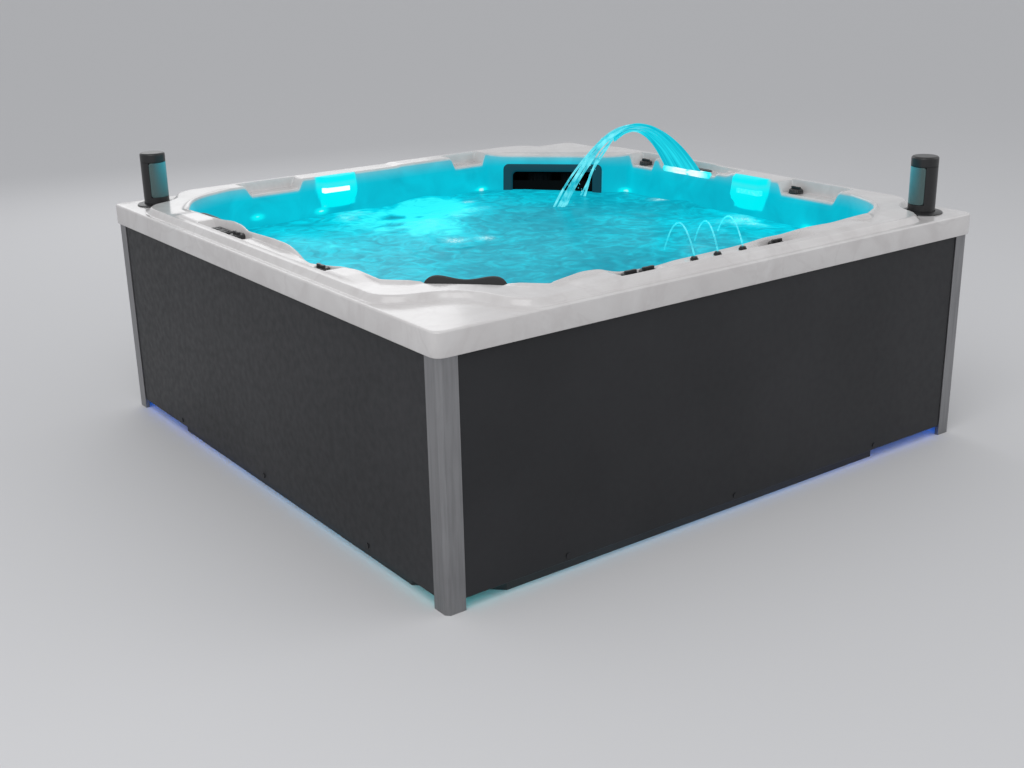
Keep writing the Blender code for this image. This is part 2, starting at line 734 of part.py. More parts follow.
def support_frame():
    """Rails under the lip and on the base pan, joined by studs behind the panels."""
    out = HALF_SIDE - FASCIA_OVERHANG - PANEL_RECESS - PANEL_THICKNESS - SEAT_GAP
    inner = HALF_SIDE - PAN_RECESS - RAIL
    low = PAN_HEIGHT + SEAT_GAP
    top = LIP_TOP + DECK_HEIGHT - SCOOP_DEPTH - SKIN - RAIL_CLEARANCE
    frame = plate("support_frame", [rectangle(out, out), rectangle(inner, inner)], low, low + RAIL, TIMBER)
    unite(frame, plate("top_rail", [rectangle(out, out), rectangle(inner, inner)], top - RAIL, top, TIMBER))
    for side in range(4):
        for share in (*STUD_SHARES, 1.0):
            middle = min(share * HALF_SIDE, out - RAIL / 2)
            stud_low = (middle - RAIL / 2, -out, low + RAIL / 2)
            stud_high = (middle + RAIL / 2, -out + RAIL, top - RAIL / 2)
            unite(frame, box("stud", stud_low, stud_high, TIMBER, side_frame(side)))


def base_pan():
    """A tray with cut corners that the tub stands on."""
    half = HALF_SIDE - PAN_RECESS

    def outline(inset):
        reach = half - inset
        cuts = (PAN_SIDE_CUT, PAN_SIDE_CUT, PAN_SIDE_CUT, PAN_FRONT_CUT)
        points = []
        for corner, cut in enumerate(cuts):
            frame = side_frame(corner)
            for x, y in ((reach - cut, -reach), (reach, -reach + cut)):
                point = frame @ Vector((x, y, 0))
                points.append((point.x, point.y))
        return points

    pan = plate("base_pan", [outline(0.0)], 0.0, PAN_HEIGHT, PAN)
    carve(pan, plate("pan_pocket", [outline(PAN_RIM)], PAN_FLOOR, PAN_HEIGHT + OVERRUN, PAN))
    return pan


def underglow_strip():
    """The light strip under the bottom rail, hidden behind the panels' foot."""
    out = HALF_SIDE - FASCIA_OVERHANG - PANEL_RECESS - PANEL_THICKNESS - SLIDE_GAP
    top = PAN_HEIGHT
    outlines = [rectangle(out, out), rectangle(out - GLOW_WIDTH, out - GLOW_WIDTH)]
    plate("underglow_strip", outlines, top - GLOW_HEIGHT, top, LENS)


# Speakers


def arc_panel(name, inner, outer, half_angle, low, high, look, place):
    """A curved panel between two radii, facing its frame's plus Y."""
    angles = np.linspace(-half_angle, half_angle, 9) + math.pi / 2
    rim = [(outer * math.cos(a), outer * math.sin(a)) for a in angles]
    back = [(inner * math.cos(a), inner * math.sin(a)) for a in angles[::-1]]
    return plate(name, [rim + back], low, high, look, place)


def speaker(shell, name, corner):
    """A tower that slides in a flanged sleeve through a corner platform, with a mesh window facing the tub."""
    diagonal = math.sqrt(2) * (HALF_SIDE - SPEAKER_INSET)
    place = corner_frame(corner) @ Matrix.Translation((0, -diagonal, LIP_TOP))
    bore = SPEAKER_RADIUS + SLIDE_GAP
    outer = bore + SLEEVE_WALL
    turned(f"speaker_sleeve_{name}", [
        (0, SLEEVE_WALL - SLEEVE_DEPTH), (bore, SLEEVE_WALL - SLEEVE_DEPTH), (bore, FLANGE_HEIGHT),
        (FLANGE_RADIUS - SPEAKER_EASE, FLANGE_HEIGHT), (FLANGE_RADIUS, SEAT_GAP + SPEAKER_EASE / 2),
        (FLANGE_RADIUS, SEAT_GAP), (outer, SEAT_GAP), (outer, -SLEEVE_DEPTH), (0, -SLEEVE_DEPTH),
    ], BLACK, place)
    carve(shell, rod("speaker_hole", outer + SLIDE_GAP, -OVERRUN, OVERRUN, BLACK, place))

    groove = SPEAKER_RISE - SPEAKER_CAP
    tower = turned(f"speaker_tower_{name}", [
        (0, SPEAKER_RISE), (SPEAKER_RADIUS - SPEAKER_EASE, SPEAKER_RISE),
        (SPEAKER_RADIUS, SPEAKER_RISE - SPEAKER_EASE), (SPEAKER_RADIUS, -SPEAKER_HOLD), (0, -SPEAKER_HOLD),
    ], BLACK, place)
    low = groove - MESH_HEIGHT
    deep = SPEAKER_RADIUS - MESH_THICKNESS
    slack = SEAT_GAP / SPEAKER_RADIUS * 2
    recess = arc_panel("mesh_recess", deep - SEAT_GAP, SPEAKER_RADIUS + OVERRUN, MESH_HALF_ANGLE + slack,
                       low - SEAT_GAP, groove + SEAT_GAP, BLACK, place)
    carve(tower, recess)
    arc_panel(f"speaker_mesh_{name}", deep, SPEAKER_RADIUS - SEAT_GAP, MESH_HALF_ANGLE, low, groove, GRILLE, place)


# Skimmer bay


def skimmer(shell):
    """A bay through the back corner's wall for two filters, leaning with the wall; returns its frame."""
    spread, slope = bay_slope()
    lean = Matrix.Rotation(math.atan(slope), 4, "X")
    foot = Vector((SKIMMER_SHIFT, -WALL_TOP_HALF * spread, WALL_TOP_HEIGHT))
    frame = corner_frame(BACK) @ Matrix.Translation(foot) @ lean @ Matrix.Translation((0, 0, -WALL_TOP_HEIGHT))
    gap = SEAT_GAP
    carve(shell, box("bay_hole", (-BAY_HALF_WIDTH - gap, -OVERRUN * 2, BAY_FOOT - gap),
                     (BAY_HALF_WIDTH + gap, OVERRUN * 5, BAY_TOP + gap), BLACK, frame))
    bay = box("skimmer_housing", (-BAY_HALF_WIDTH, -BAY_DEPTH, BAY_FOOT),
              (BAY_HALF_WIDTH, COVER_STANDOFF, BAY_TOP), BLACK, frame)
    carve(bay, box("bay_inside", (-BAY_HALF_WIDTH + BAY_WALL, -BAY_DEPTH + BAY_WALL, BAY_FOOT + BAY_WALL),
                   (BAY_HALF_WIDTH - BAY_WALL, OVERRUN, BAY_TOP - BAY_WALL), BLACK, frame))
    return frame


def skimmer_front(frame):
    """The cover with its window, and the weir flap on its pin behind it."""
    back = COVER_STANDOFF + SEAT_GAP
    cover = box("skimmer_cover", (-COVER_HALF_WIDTH, back, COVER_FOOT),
                (COVER_HALF_WIDTH, back + COVER_THICKNESS, COVER_TOP), BLACK, frame, edge=COVER_EASE)
    carve(cover, box("cover_window", (-WINDOW_HALF_WIDTH, back - OVERRUN, WINDOW_FOOT),
                     (WINDOW_HALF_WIDTH, back + COVER_THICKNESS + OVERRUN, WINDOW_TOP), BLACK, frame))
    reach = BAY_HALF_WIDTH - BAY_WALL - SEAT_GAP
    axis = frame @ Matrix.Translation((0, COVER_STANDOFF - WEIR_PIN - SLIDE_GAP, WEIR_FOOT))
    half = WEIR_THICKNESS / 2
    flap = box("weir_flap", (-reach, -half, 0), (reach, half, WEIR_TOP - WEIR_FOOT), BLACK, axis)
    turn = Matrix.Rotation(math.radians(90), 4, "Y")
    unite(flap, rod("weir_pin", WEIR_PIN, -reach, reach, BLACK, axis @ turn, sides=SMALL_ROUND))


def filters(frame):
    """Two pleated cartridges standing in the bay."""
    foot = BAY_FOOT + BAY_WALL + SEAT_GAP
    for name, side in (("left", 1), ("right", -1)):
        out = BAY_DEPTH - BAY_WALL - FILTER_RADIUS - SLIDE_GAP
        middle = Vector((side * (FILTER_RADIUS + FILTER_CORE), -out, foot))
        place = frame @ Matrix.Translation(middle)
        count = 16
        steps = np.arange(2 * count) * math.pi / count
        radii = np.where(np.arange(2 * count) % 2 == 0, FILTER_RADIUS, FILTER_RADIUS - FILTER_PLEAT)
        pleats = [(r * math.cos(a), r * math.sin(a)) for r, a in zip(radii, steps)]
        core = [(FILTER_CORE * math.cos(a), FILTER_CORE * math.sin(a)) for a in steps[::4]]
        plate(f"filter_cartridge_{name}", [pleats, core], 0.0, FILTER_HEIGHT, PAPER, place)


# Fountain, cascades and deck jets


def fountain():
    """A low hood on the deck of the right side with a light lens along its inner face."""
    floor = scoop_floor(1, FOUNTAIN_SHARE) + SEAT_GAP
    back = INNER_HALF + FOUNTAIN_DEPTH
    frame = side_frame(1) @ Matrix.Translation((FOUNTAIN_SHARE * HALF_SIDE, -back, floor))
    half = FOUNTAIN_LENGTH / 2
    turn = Matrix.Rotation(math.radians(90), 4, "Z") @ Matrix.Rotation(math.radians(90), 4, "X")
    steps = np.linspace(0, math.pi / 2, 6)
    hood = [(0.0, 0.0)]
    hood += [(FOUNTAIN_DEPTH * (1 - math.cos(a)) * 0.6, FOUNTAIN_HEIGHT * math.sin(a)) for a in steps[1:]]
    hood += [(FOUNTAIN_DEPTH - EDGE_ROUND, FOUNTAIN_HEIGHT), (FOUNTAIN_DEPTH - EDGE_ROUND, 0.0)]
    body = plate("fountain_body", [hood], -half, half, BLACK, frame @ turn)
    lens_half = FOUNTAIN_LENS_LENGTH / 2
    front = FOUNTAIN_DEPTH - EDGE_ROUND
    low = (FOUNTAIN_HEIGHT - FOUNTAIN_LENS_HEIGHT) / 2
    socket = box("lens_socket", (-lens_half - SEAT_GAP, front - FOUNTAIN_LENS_DEPTH / 2, low - SEAT_GAP),
                 (lens_half + SEAT_GAP, front + OVERRUN, low + FOUNTAIN_LENS_HEIGHT + SEAT_GAP), BLACK, frame)
    carve(body, socket)
    box("fountain_lens", (-lens_half, front - FOUNTAIN_LENS_DEPTH / 2 + SEAT_GAP, low),
        (lens_half, front + FOUNTAIN_LENS_DEPTH / 2, low + FOUNTAIN_LENS_HEIGHT), LENS, frame, edge=PANEL_EASE)


def cascades(shell):
    """A lit slot in the top of each pilaster."""
    for name, side, share in (("right", 1, CASCADE_RIGHT_SHARE), ("left", 2, CASCADE_LEFT_SHARE)):
        front = WALL_TOP_HALF - PILASTER_DEPTH
        top = LIP_TOP + DECK_HEIGHT - EDGE_ROUND - CASCADE_DROP
        frame = side_frame(side) @ Matrix.Translation((share * HALF_SIDE, -front, top))
        half = CASCADE_LENGTH / 2
        gap = SEAT_GAP
        carve(shell, box("cascade_hole", (-half - gap, -OVERRUN, -CASCADE_HEIGHT - gap),
                         (half + gap, OVERRUN, gap), BLACK, frame))
        box(f"cascade_spout_{name}", (-half, -OVERRUN, -CASCADE_HEIGHT), (half, CASCADE_PROUD, 0), LENS, frame)


def deck_jets():
    """Three small nozzles in a row on the front deck."""
    for name, share in zip(("left", "middle", "right"), DECK_JET_SHARES):
        floor = scoop_floor(0, share) + SEAT_GAP
        place = side_frame(0) @ Matrix.Translation((share * HALF_SIDE, -INNER_HALF - KNOB_INSET, floor))
        radius = DECK_JET_RADIUS
        turned(f"deck_jet_{name}", [
            (0, DECK_JET_HEIGHT / 2), (DECK_JET_BORE, DECK_JET_HEIGHT / 2), (DECK_JET_BORE, DECK_JET_HEIGHT),
            (radius / 2, DECK_JET_HEIGHT), (radius, DECK_JET_HEIGHT / 2), (radius, 0), (0, 0),
        ], BLACK, place, sides=SMALL_ROUND)


# Controls


def knobs():
    """Rotary diverter and air knobs in the scoops, each with a raised grip across its top."""
    for name, side, share in KNOB_PLACES:
        floor = scoop_floor(side, share) + SEAT_GAP
        place = side_frame(side) @ Matrix.Translation((share * HALF_SIDE, -INNER_HALF - KNOB_INSET, floor))
        skirt = KNOB_HEIGHT - KNOB_GRIP
        knob = turned(name, [
            (0, skirt), (KNOB_RADIUS * 0.7, skirt), (KNOB_RADIUS, KNOB_BASE), (KNOB_RADIUS, 0), (0, 0),
        ], BLACK, place, sides=SMALL_ROUND)
        grip = box("knob_grip", (-KNOB_RADIUS * 0.8, -KNOB_GRIP / 2, KNOB_BASE),
                   (KNOB_RADIUS * 0.8, KNOB_GRIP / 2, KNOB_HEIGHT), BLACK, place)
        unite(knob, grip)


def control_pad():
    """A low sealed keypad in the scoop beside the left seat."""
    floor = scoop_floor(3, PAD_SHARE) + SEAT_GAP
    place = side_frame(3) @ Matrix.Translation((PAD_SHARE * HALF_SIDE, -INNER_HALF - KNOB_INSET, floor))
    box("control_pad", (-PAD_LENGTH / 2, -PAD_WIDTH / 2, 0), (PAD_LENGTH / 2, PAD_WIDTH / 2, PAD_HEIGHT), BLACK,
        place, edge=PAD_EASE)


# Water fittings


def fitting(name, radius, stem, length, look, place, sides=ROUND):
    """A domed face with a stem through the wall behind it."""
    return turned(name, [
        (0, FITTING_DOME), (radius * 0.55, FITTING_DOME * 0.85), (radius * 0.9, FITTING_DOME * 0.45),
        (radius, FITTING_DOME * 0.2), (radius, SLIDE_GAP), (stem, SLIDE_GAP), (stem, -length), (0, -length),
    ], look, place, sides=sides)


def fitting_hole(shell, radius, stem, place):
    """A hole for a fitting's stem, with a flat spot under its face."""
    seat = SLIDE_GAP - SEAT_GAP
    carve(shell, turned("fitting_hole", [
        (0, OVERRUN), (radius + SEAT_GAP, OVERRUN), (radius + SEAT_GAP, seat), (stem, seat), (stem, -OVERRUN),
        (0, -OVERRUN),
    ], BLACK, place, sides=ROUND))


def swirl_jets(shell, surface):
    """Five massage jets whose faces turn freely, one in each side and one in the front corner."""
    places = [(side_frame(side), share * HALF_SIDE) for side, share in enumerate(SWIRL_SHARES)]
    places.append((corner_frame(FRONT), 0))
    for name, (frame, along) in zip(("front", "right", "back", "left", "corner"), places):
        place = wall_place(surface, frame, along, SWIRL_HEIGHT)
        fitting_hole(shell, SWIRL_RADIUS, SWIRL_STEM + TURN_GAP, place)
        jet = fitting(f"swirl_jet_{name}", SWIRL_RADIUS, SWIRL_STEM, SWIRL_LENGTH, STEEL, place)
        for side in (-1, 1):
            port = place @ Matrix.Translation((side * SWIRL_RADIUS * 0.45, 0, 0))
            carve(jet, rod("jet_port", SWIRL_PORT, 0, OVERRUN, STEEL, port, sides=8))


def well_fittings(shell, surface):
    """Suction covers and the light in the footwell's wall, and the drain in its floor."""
    for name, side, radius, stem, look in (
        ("suction_cover_front", 0, SUCTION_RADIUS, SUCTION_STEM, BLACK),
        ("suction_cover_back", 2, SUCTION_RADIUS, SUCTION_STEM, BLACK),
        ("footwell_light", 3, LIGHT_RADIUS, LIGHT_STEM, LENS),
    ):
        place = wall_place(surface, side_frame(side), 0, SUCTION_HEIGHT)
        fitting_hole(shell, radius, stem + SEAT_GAP, place)
        fitting(name, radius, stem, SUCTION_LENGTH, look, place)
    place = Matrix.Translation((0, 0, WELL_FLOOR))
    carve(shell, rod("drain_hole", DRAIN_STEM + SEAT_GAP, -OVERRUN, OVERRUN, BLACK, place, sides=SMALL_ROUND))
    fitting("drain_cover", DRAIN_RADIUS, DRAIN_STEM, SKIN + OVERRUN, BLACK, place, sides=SMALL_ROUND)


# Head rests


def head_rest(name, place, length, waist_share):
    """A soft cushion along X that hangs on the inner wall, fuller at its two ends where its waist is drawn in."""
    lengths = np.linspace(-1, 1, 15)
    around = np.linspace(0, 2 * math.pi, 12, endpoint=False)
    girth = np.sqrt(np.clip(1 - np.abs(lengths) ** 4, 0.0, 1.0))
    waist = 1 - (1 - waist_share) * np.cos(lengths * math.pi / 2) ** 2
    size = np.clip(girth * waist, 0.12, 1.0)
    rows = []
    for s, share in zip(lengths, size):
        across = np.sign(np.cos(around)) * np.abs(np.cos(around)) ** 0.8 * REST_THICKNESS / 2
        upward = np.sign(np.sin(around)) * np.abs(np.sin(around)) ** 0.8 * REST_HEIGHT / 2
        x = np.full(len(around), s * length / 2)
        y = REST_THICKNESS / 2 + across * share - REST_THICKNESS * (1 - share) / 2
        flat_back = REST_BACK_SHARE * REST_THICKNESS
        rows.append(np.column_stack([x, np.maximum(y, flat_back * share) - flat_back * share, upward * share]))
    points = np.concatenate(rows)
    count = len(around)
    faces = [
        (r * count + i, r * count + (i + 1) % count, (r + 1) * count + (i + 1) % count, (r + 1) * count + i)
        for r in range(len(lengths) - 1)
        for i in range(count)
    ]
    faces.append(tuple(range(count))[::-1])
    faces.append(tuple((len(lengths) - 1) * count + i for i in range(count)))
    mesh = bpy.data.meshes.new(name)
    mesh.from_pydata([tuple(p) for p in points], [], faces)
    form = bmesh.new()
    form.from_mesh(mesh)
    bmesh.ops.recalc_face_normals(form, faces=form.faces)
    form.to_mesh(mesh)
    form.free()
    rest = bpy.data.objects.new(name, mesh)
    rest.matrix_world = place
    return keep(rest, SOFT, smooth=True)


def head_rests(surface):
    """The bone shaped rest on the front corner and two plainer ones on the front and left walls."""
    height = LIP_TOP + DECK_HEIGHT + REST_TOP - REST_HEIGHT / 2
    for name, frame, share, lower, length, waist in (
        ("corner", corner_frame(FRONT), 0.0, 0.0, REST_LENGTH, REST_WAIST_SHARE),
        ("front", side_frame(0), SIDE_REST_SHARES[0], SIDE_REST_DROP, SIDE_REST_LENGTH, 1.0),
        ("left", side_frame(3), SIDE_REST_SHARES[1], SIDE_REST_DROP, SIDE_REST_LENGTH, 1.0),
    ):
        place = leaning_place(surface, frame, share * HALF_SIDE, height - lower)
        head_rest(f"head_rest_{name}", place @ Matrix.Translation((0, SLIDE_GAP, 0)), length, waist)


# Pump bay


def pump(name, along):
    """A motor on its foot and a wet end with its suction and discharge ports."""
    floor = PAN_FLOOR + SEAT_GAP
    turn = Matrix.Rotation(math.radians(90), 4, "Y")
    place = Matrix.Translation((along, -BAY_CENTRE, floor + PUMP_AXIS)) @ turn
    half = MOTOR_LENGTH / 2
    motor = turned(f"{name}_motor", [
        (0, half), (MOTOR_RADIUS - FIN_HEIGHT, half), (MOTOR_RADIUS, half - FIN_HEIGHT),
        (MOTOR_RADIUS, FIN_HEIGHT - half), (MOTOR_RADIUS - FIN_HEIGHT, -half), (0, -half),
    ], MOTOR, place)
    foot = box("motor_foot", (along - FOOT_WIDTH / 2, -BAY_CENTRE - MOTOR_RADIUS, floor),
               (along + FOOT_WIDTH / 2, -BAY_CENTRE + MOTOR_RADIUS, floor + FOOT_THICKNESS), MOTOR)
    unite(motor, foot)
    web = box("motor_web", (along - FOOT_WIDTH / 4, -BAY_CENTRE - FOOT_THICKNESS, floor + FOOT_THICKNESS / 2),
              (along + FOOT_WIDTH / 4, -BAY_CENTRE + FOOT_THICKNESS, floor + PUMP_AXIS), MOTOR)
    unite(motor, web)
    start = half + SEAT_GAP
    wet = turned(f"{name}_wet_end", [
        (0, start + WET_END_LENGTH), (PORT_RADIUS, start + WET_END_LENGTH), (PORT_RADIUS, start + WET_END_LENGTH / 2),
        (WET_END_RADIUS, start + WET_END_LENGTH / 2), (WET_END_RADIUS, start), (0, start),
    ], BLACK, place)
    middle = start + WET_END_LENGTH / 4
    top = WET_END_RADIUS + PORT_LENGTH
    up = Matrix.Translation((along + middle, -BAY_CENTRE, floor + PUMP_AXIS))
    unite(wet, rod("discharge", PORT_RADIUS, 0, top, BLACK, up))
    return Vector((along + middle, -BAY_CENTRE, floor + PUMP_AXIS + top))


def pump_bay():
    """Two pumps and the manifold above them."""
    first = pump("pump_one", -PUMP_PLACE)
    second = pump("pump_two", PUMP_PLACE)
    rise = SEAT_GAP + PIPE_RADIUS * 2
    inner = (WELL_HALF + INNER_HALF) / 2 - PIPE_RADIUS * 4
    points = [
        first + Vector((0, 0, SEAT_GAP)), first + Vector((0, 0, rise)),
        Vector((first.x, -inner, first.z + rise)), Vector((second.x, -inner, second.z + rise)),
        second + Vector((0, 0, rise)), second + Vector((0, 0, SEAT_GAP)),
    ]
    tube("jet_manifold", points, PIPE_RADIUS, PIPE)


def suction_pipe():
    """The pipe from the front suction cover to the first pump's inlet."""
    height = PAN_FLOOR + SEAT_GAP + PUMP_AXIS
    start = WELL_HALF + SUCTION_LENGTH
    inlet = MOTOR_LENGTH / 2 + SEAT_GAP + WET_END_LENGTH + SEAT_GAP - PUMP_PLACE
    bend = inlet + PIPE_RADIUS * 3
    near = start + SUCTION_LEAD
    points = [
        (0, -start, SUCTION_HEIGHT), (0, -near, SUCTION_HEIGHT), (bend, -near, SUCTION_HEIGHT),
        (bend, -near, height), (bend, -BAY_CENTRE, height), (inlet, -BAY_CENTRE, height),
    ]
    tube("suction_pipe", points, PIPE_RADIUS, PIPE)


def equipment():
    """Control box, heater, blower and ozone unit on the pan's floor behind the service panel."""
    floor = PAN_FLOOR + SEAT_GAP
    out = HALF_SIDE - PAN_RECESS - PAN_RIM - SLIDE_GAP
    box("control_box", (-BOX_LENGTH / 2, -out, floor), (BOX_LENGTH / 2, -out + BOX_DEPTH, floor + BOX_HEIGHT),
        HOUSING, edge=BOX_EASE)
    turn = Matrix.Rotation(math.radians(90), 4, "Y")
    lane = out - BOX_DEPTH - HEATER_RADIUS - SEAT_GAP
    heater = turned("heater_tube", [
        (0, HEATER_LENGTH / 2), (HEATER_RADIUS * 0.7, HEATER_LENGTH / 2), (HEATER_RADIUS, HEATER_LENGTH * 0.42),
        (HEATER_RADIUS, -HEATER_LENGTH * 0.42), (HEATER_RADIUS * 0.7, -HEATER_LENGTH / 2), (0, -HEATER_LENGTH / 2),
    ], STEEL, Matrix.Translation((0, -lane, floor + HEATER_HEIGHT)) @ turn)
    for side in (-1, 1):
        middle = side * HEATER_LENGTH / 4
        unite(heater, box("heater_foot", (middle - FOOT_THICKNESS, -lane - FOOT_THICKNESS, floor),
                          (middle + FOOT_THICKNESS, -lane + FOOT_THICKNESS, floor + HEATER_HEIGHT), STEEL))
    blower_lane = lane - HEATER_RADIUS - BLOWER_RADIUS - OVERRUN
    turned("air_blower", [
        (0, BLOWER_HEIGHT), (BLOWER_RADIUS * 0.6, BLOWER_HEIGHT), (BLOWER_RADIUS, BLOWER_HEIGHT * 0.8),
        (BLOWER_RADIUS, BLOWER_HEIGHT * 0.3), (BLOWER_RADIUS * 0.7, BLOWER_HEIGHT * 0.25), (BLOWER_RADIUS * 0.7, 0),
        (0, 0),
    ], BLACK, Matrix.Translation((0, -blower_lane, floor)))
    start = BOX_LENGTH / 2 + SEAT_GAP
    box("ozone_unit", (start, -out, floor), (start + OZONE_LENGTH, -out + OZONE_DEPTH, floor + OZONE_HEIGHT), HOUSING,
        edge=BOX_EASE)


def main():
    """Build the tub from the outside in."""
    base_pan()
    underglow_strip()
    support_frame()
    corner_posts()
    side_panels()
    shell = acrylic_shell()
    bpy.context.view_layer.update()
    surface = BVHTree.FromObject(shell, bpy.context.evaluated_depsgraph_get())
    speaker(shell, "right", RIGHT)
    speaker(shell, "left", LEFT)
    bay = skimmer(shell)
    skimmer_front(bay)
    filters(bay)
    fountain()
    cascades(shell)
    deck_jets()
    knobs()
    control_pad()
    swirl_jets(shell, surface)
    well_fittings(shell, surface)
    head_rests(surface)
    pump_bay()
    suction_pipe()
    equipment()


main()
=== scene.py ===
"""Looks of a running hot tub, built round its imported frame: shell, water, fountain, speakers and cabinet."""

import json
import logging
import math
from dataclasses import dataclass, field
from enum import Enum

import bmesh
import bpy
import numpy as np
from mathutils import Matrix, Vector

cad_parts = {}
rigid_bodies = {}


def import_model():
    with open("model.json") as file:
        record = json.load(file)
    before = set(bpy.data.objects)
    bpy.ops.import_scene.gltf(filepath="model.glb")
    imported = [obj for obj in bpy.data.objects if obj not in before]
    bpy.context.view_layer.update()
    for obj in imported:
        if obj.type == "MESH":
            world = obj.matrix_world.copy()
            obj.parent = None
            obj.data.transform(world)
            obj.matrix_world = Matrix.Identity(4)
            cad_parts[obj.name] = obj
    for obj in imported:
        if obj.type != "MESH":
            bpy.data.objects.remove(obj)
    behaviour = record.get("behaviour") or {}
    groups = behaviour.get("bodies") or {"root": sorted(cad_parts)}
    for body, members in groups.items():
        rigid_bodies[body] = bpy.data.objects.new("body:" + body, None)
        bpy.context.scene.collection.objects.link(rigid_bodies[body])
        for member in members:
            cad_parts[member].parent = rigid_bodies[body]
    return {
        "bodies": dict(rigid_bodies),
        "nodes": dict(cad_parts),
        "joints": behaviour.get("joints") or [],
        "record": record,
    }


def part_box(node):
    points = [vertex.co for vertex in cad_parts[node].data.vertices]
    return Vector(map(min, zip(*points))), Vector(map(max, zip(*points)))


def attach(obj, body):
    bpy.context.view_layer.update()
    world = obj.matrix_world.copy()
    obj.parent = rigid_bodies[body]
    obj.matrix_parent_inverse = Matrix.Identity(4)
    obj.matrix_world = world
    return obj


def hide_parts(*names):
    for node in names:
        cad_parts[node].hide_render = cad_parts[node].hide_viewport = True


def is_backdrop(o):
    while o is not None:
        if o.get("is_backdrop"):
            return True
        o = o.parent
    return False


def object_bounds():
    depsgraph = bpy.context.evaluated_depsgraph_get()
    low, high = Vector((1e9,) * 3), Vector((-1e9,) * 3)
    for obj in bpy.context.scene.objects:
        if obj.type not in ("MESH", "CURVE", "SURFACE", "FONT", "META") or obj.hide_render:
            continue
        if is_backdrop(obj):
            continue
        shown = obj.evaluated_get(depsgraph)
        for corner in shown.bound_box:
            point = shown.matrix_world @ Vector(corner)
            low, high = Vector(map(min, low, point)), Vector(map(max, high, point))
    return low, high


Array = np.ndarray
Colour = tuple[float, float, float]
Place = tuple[float, float, float]
Pair = tuple[float, float]
Row = tuple[float, ...]
Piece = bpy.types.Object
Material = bpy.types.Material
Socket = bpy.types.NodeSocket
LOG = logging.getLogger("hot_tub")
TUB = "tub"


class Style(Enum):
    """How a ring of the shell turns its corners."""

    LIP = "lip"
    RISER = "riser"
    INNER = "inner"


class Stretch(Enum):
    """How a noise pattern is stretched over a finish."""

    EVEN = (1.0, 1.0, 1.0)
    UPRIGHT = (1.0, 1.0, 0.06)
    LEVEL = (0.08, 1.0, 1.0)


# Curves and noise


def smooth(value: Array) -> Array:
    """A share from 0 to 1 with a soft start and end."""
    share = np.clip(value, 0.0, 1.0)
    return share * share * (3.0 - 2.0 * share)


def eased_lookup(where: Array, places: Array, levels: Array) -> Array:
    """Read levels at places along a line, with an S curve from each place to the next.

    Args:
        where: Places to read at.
        places: Rising places that have a level.
        levels: The level at each of those places.

    Returns:
        One level for each place read.
    """
    last = len(places) - 2
    index = np.clip(np.searchsorted(places, where, side="right") - 1, 0, last)
    share = (where - places[index]) / (places[index + 1] - places[index])
    return levels[index] + (levels[index + 1] - levels[index]) * smooth(share)


def ripple(x: Array, y: Array, size: float, seed: int) -> Array:
    """Soft random hills over a plane, from a lattice of random heights joined by S curves.

    Args:
        x: First coordinates, in metres.
        y: Second coordinates, in metres.
        size: Distance from hill to hill, in metres.
        seed: Which random lattice to use.

    Returns:
        Heights from -1 to 1.
    """
    lattice = np.random.default_rng(seed).uniform(-1.0, 1.0, (64, 64))
    u, v = x / size, y / size
    column, row = np.floor(u).astype(int), np.floor(v).astype(int)
    a, b = smooth(u - column), smooth(v - row)
    near = lattice[column % 64, row % 64] * (1 - a) + lattice[(column + 1) % 64, row % 64] * a
    far = lattice[column % 64, (row + 1) % 64] * (1 - a) + lattice[(column + 1) % 64, (row + 1) % 64] * a
    return near * (1 - b) + far * b


def frame_at(origin: Vector, x_axis: Vector, z_axis: Vector) -> Matrix:
    """A frame from its origin, its X and its Z."""
    y_axis = z_axis.cross(x_axis)
    return Matrix.Translation(origin) @ Matrix((x_axis, y_axis, z_axis)).transposed().to_4x4()


def side_frame(side: int) -> Matrix:
    """Frame of a side: X runs to the right seen from outside, and minus Y points out of the tub."""
    return Matrix.Rotation(math.radians(90 * side), 4, "Z")


def placed(points: Array, place: Matrix) -> Array:
    """Points of a frame carried to the tub's own coordinates."""
    turn = np.array(place.to_3x3())
    return points @ turn.T + np.array(place.translation)


# Skins


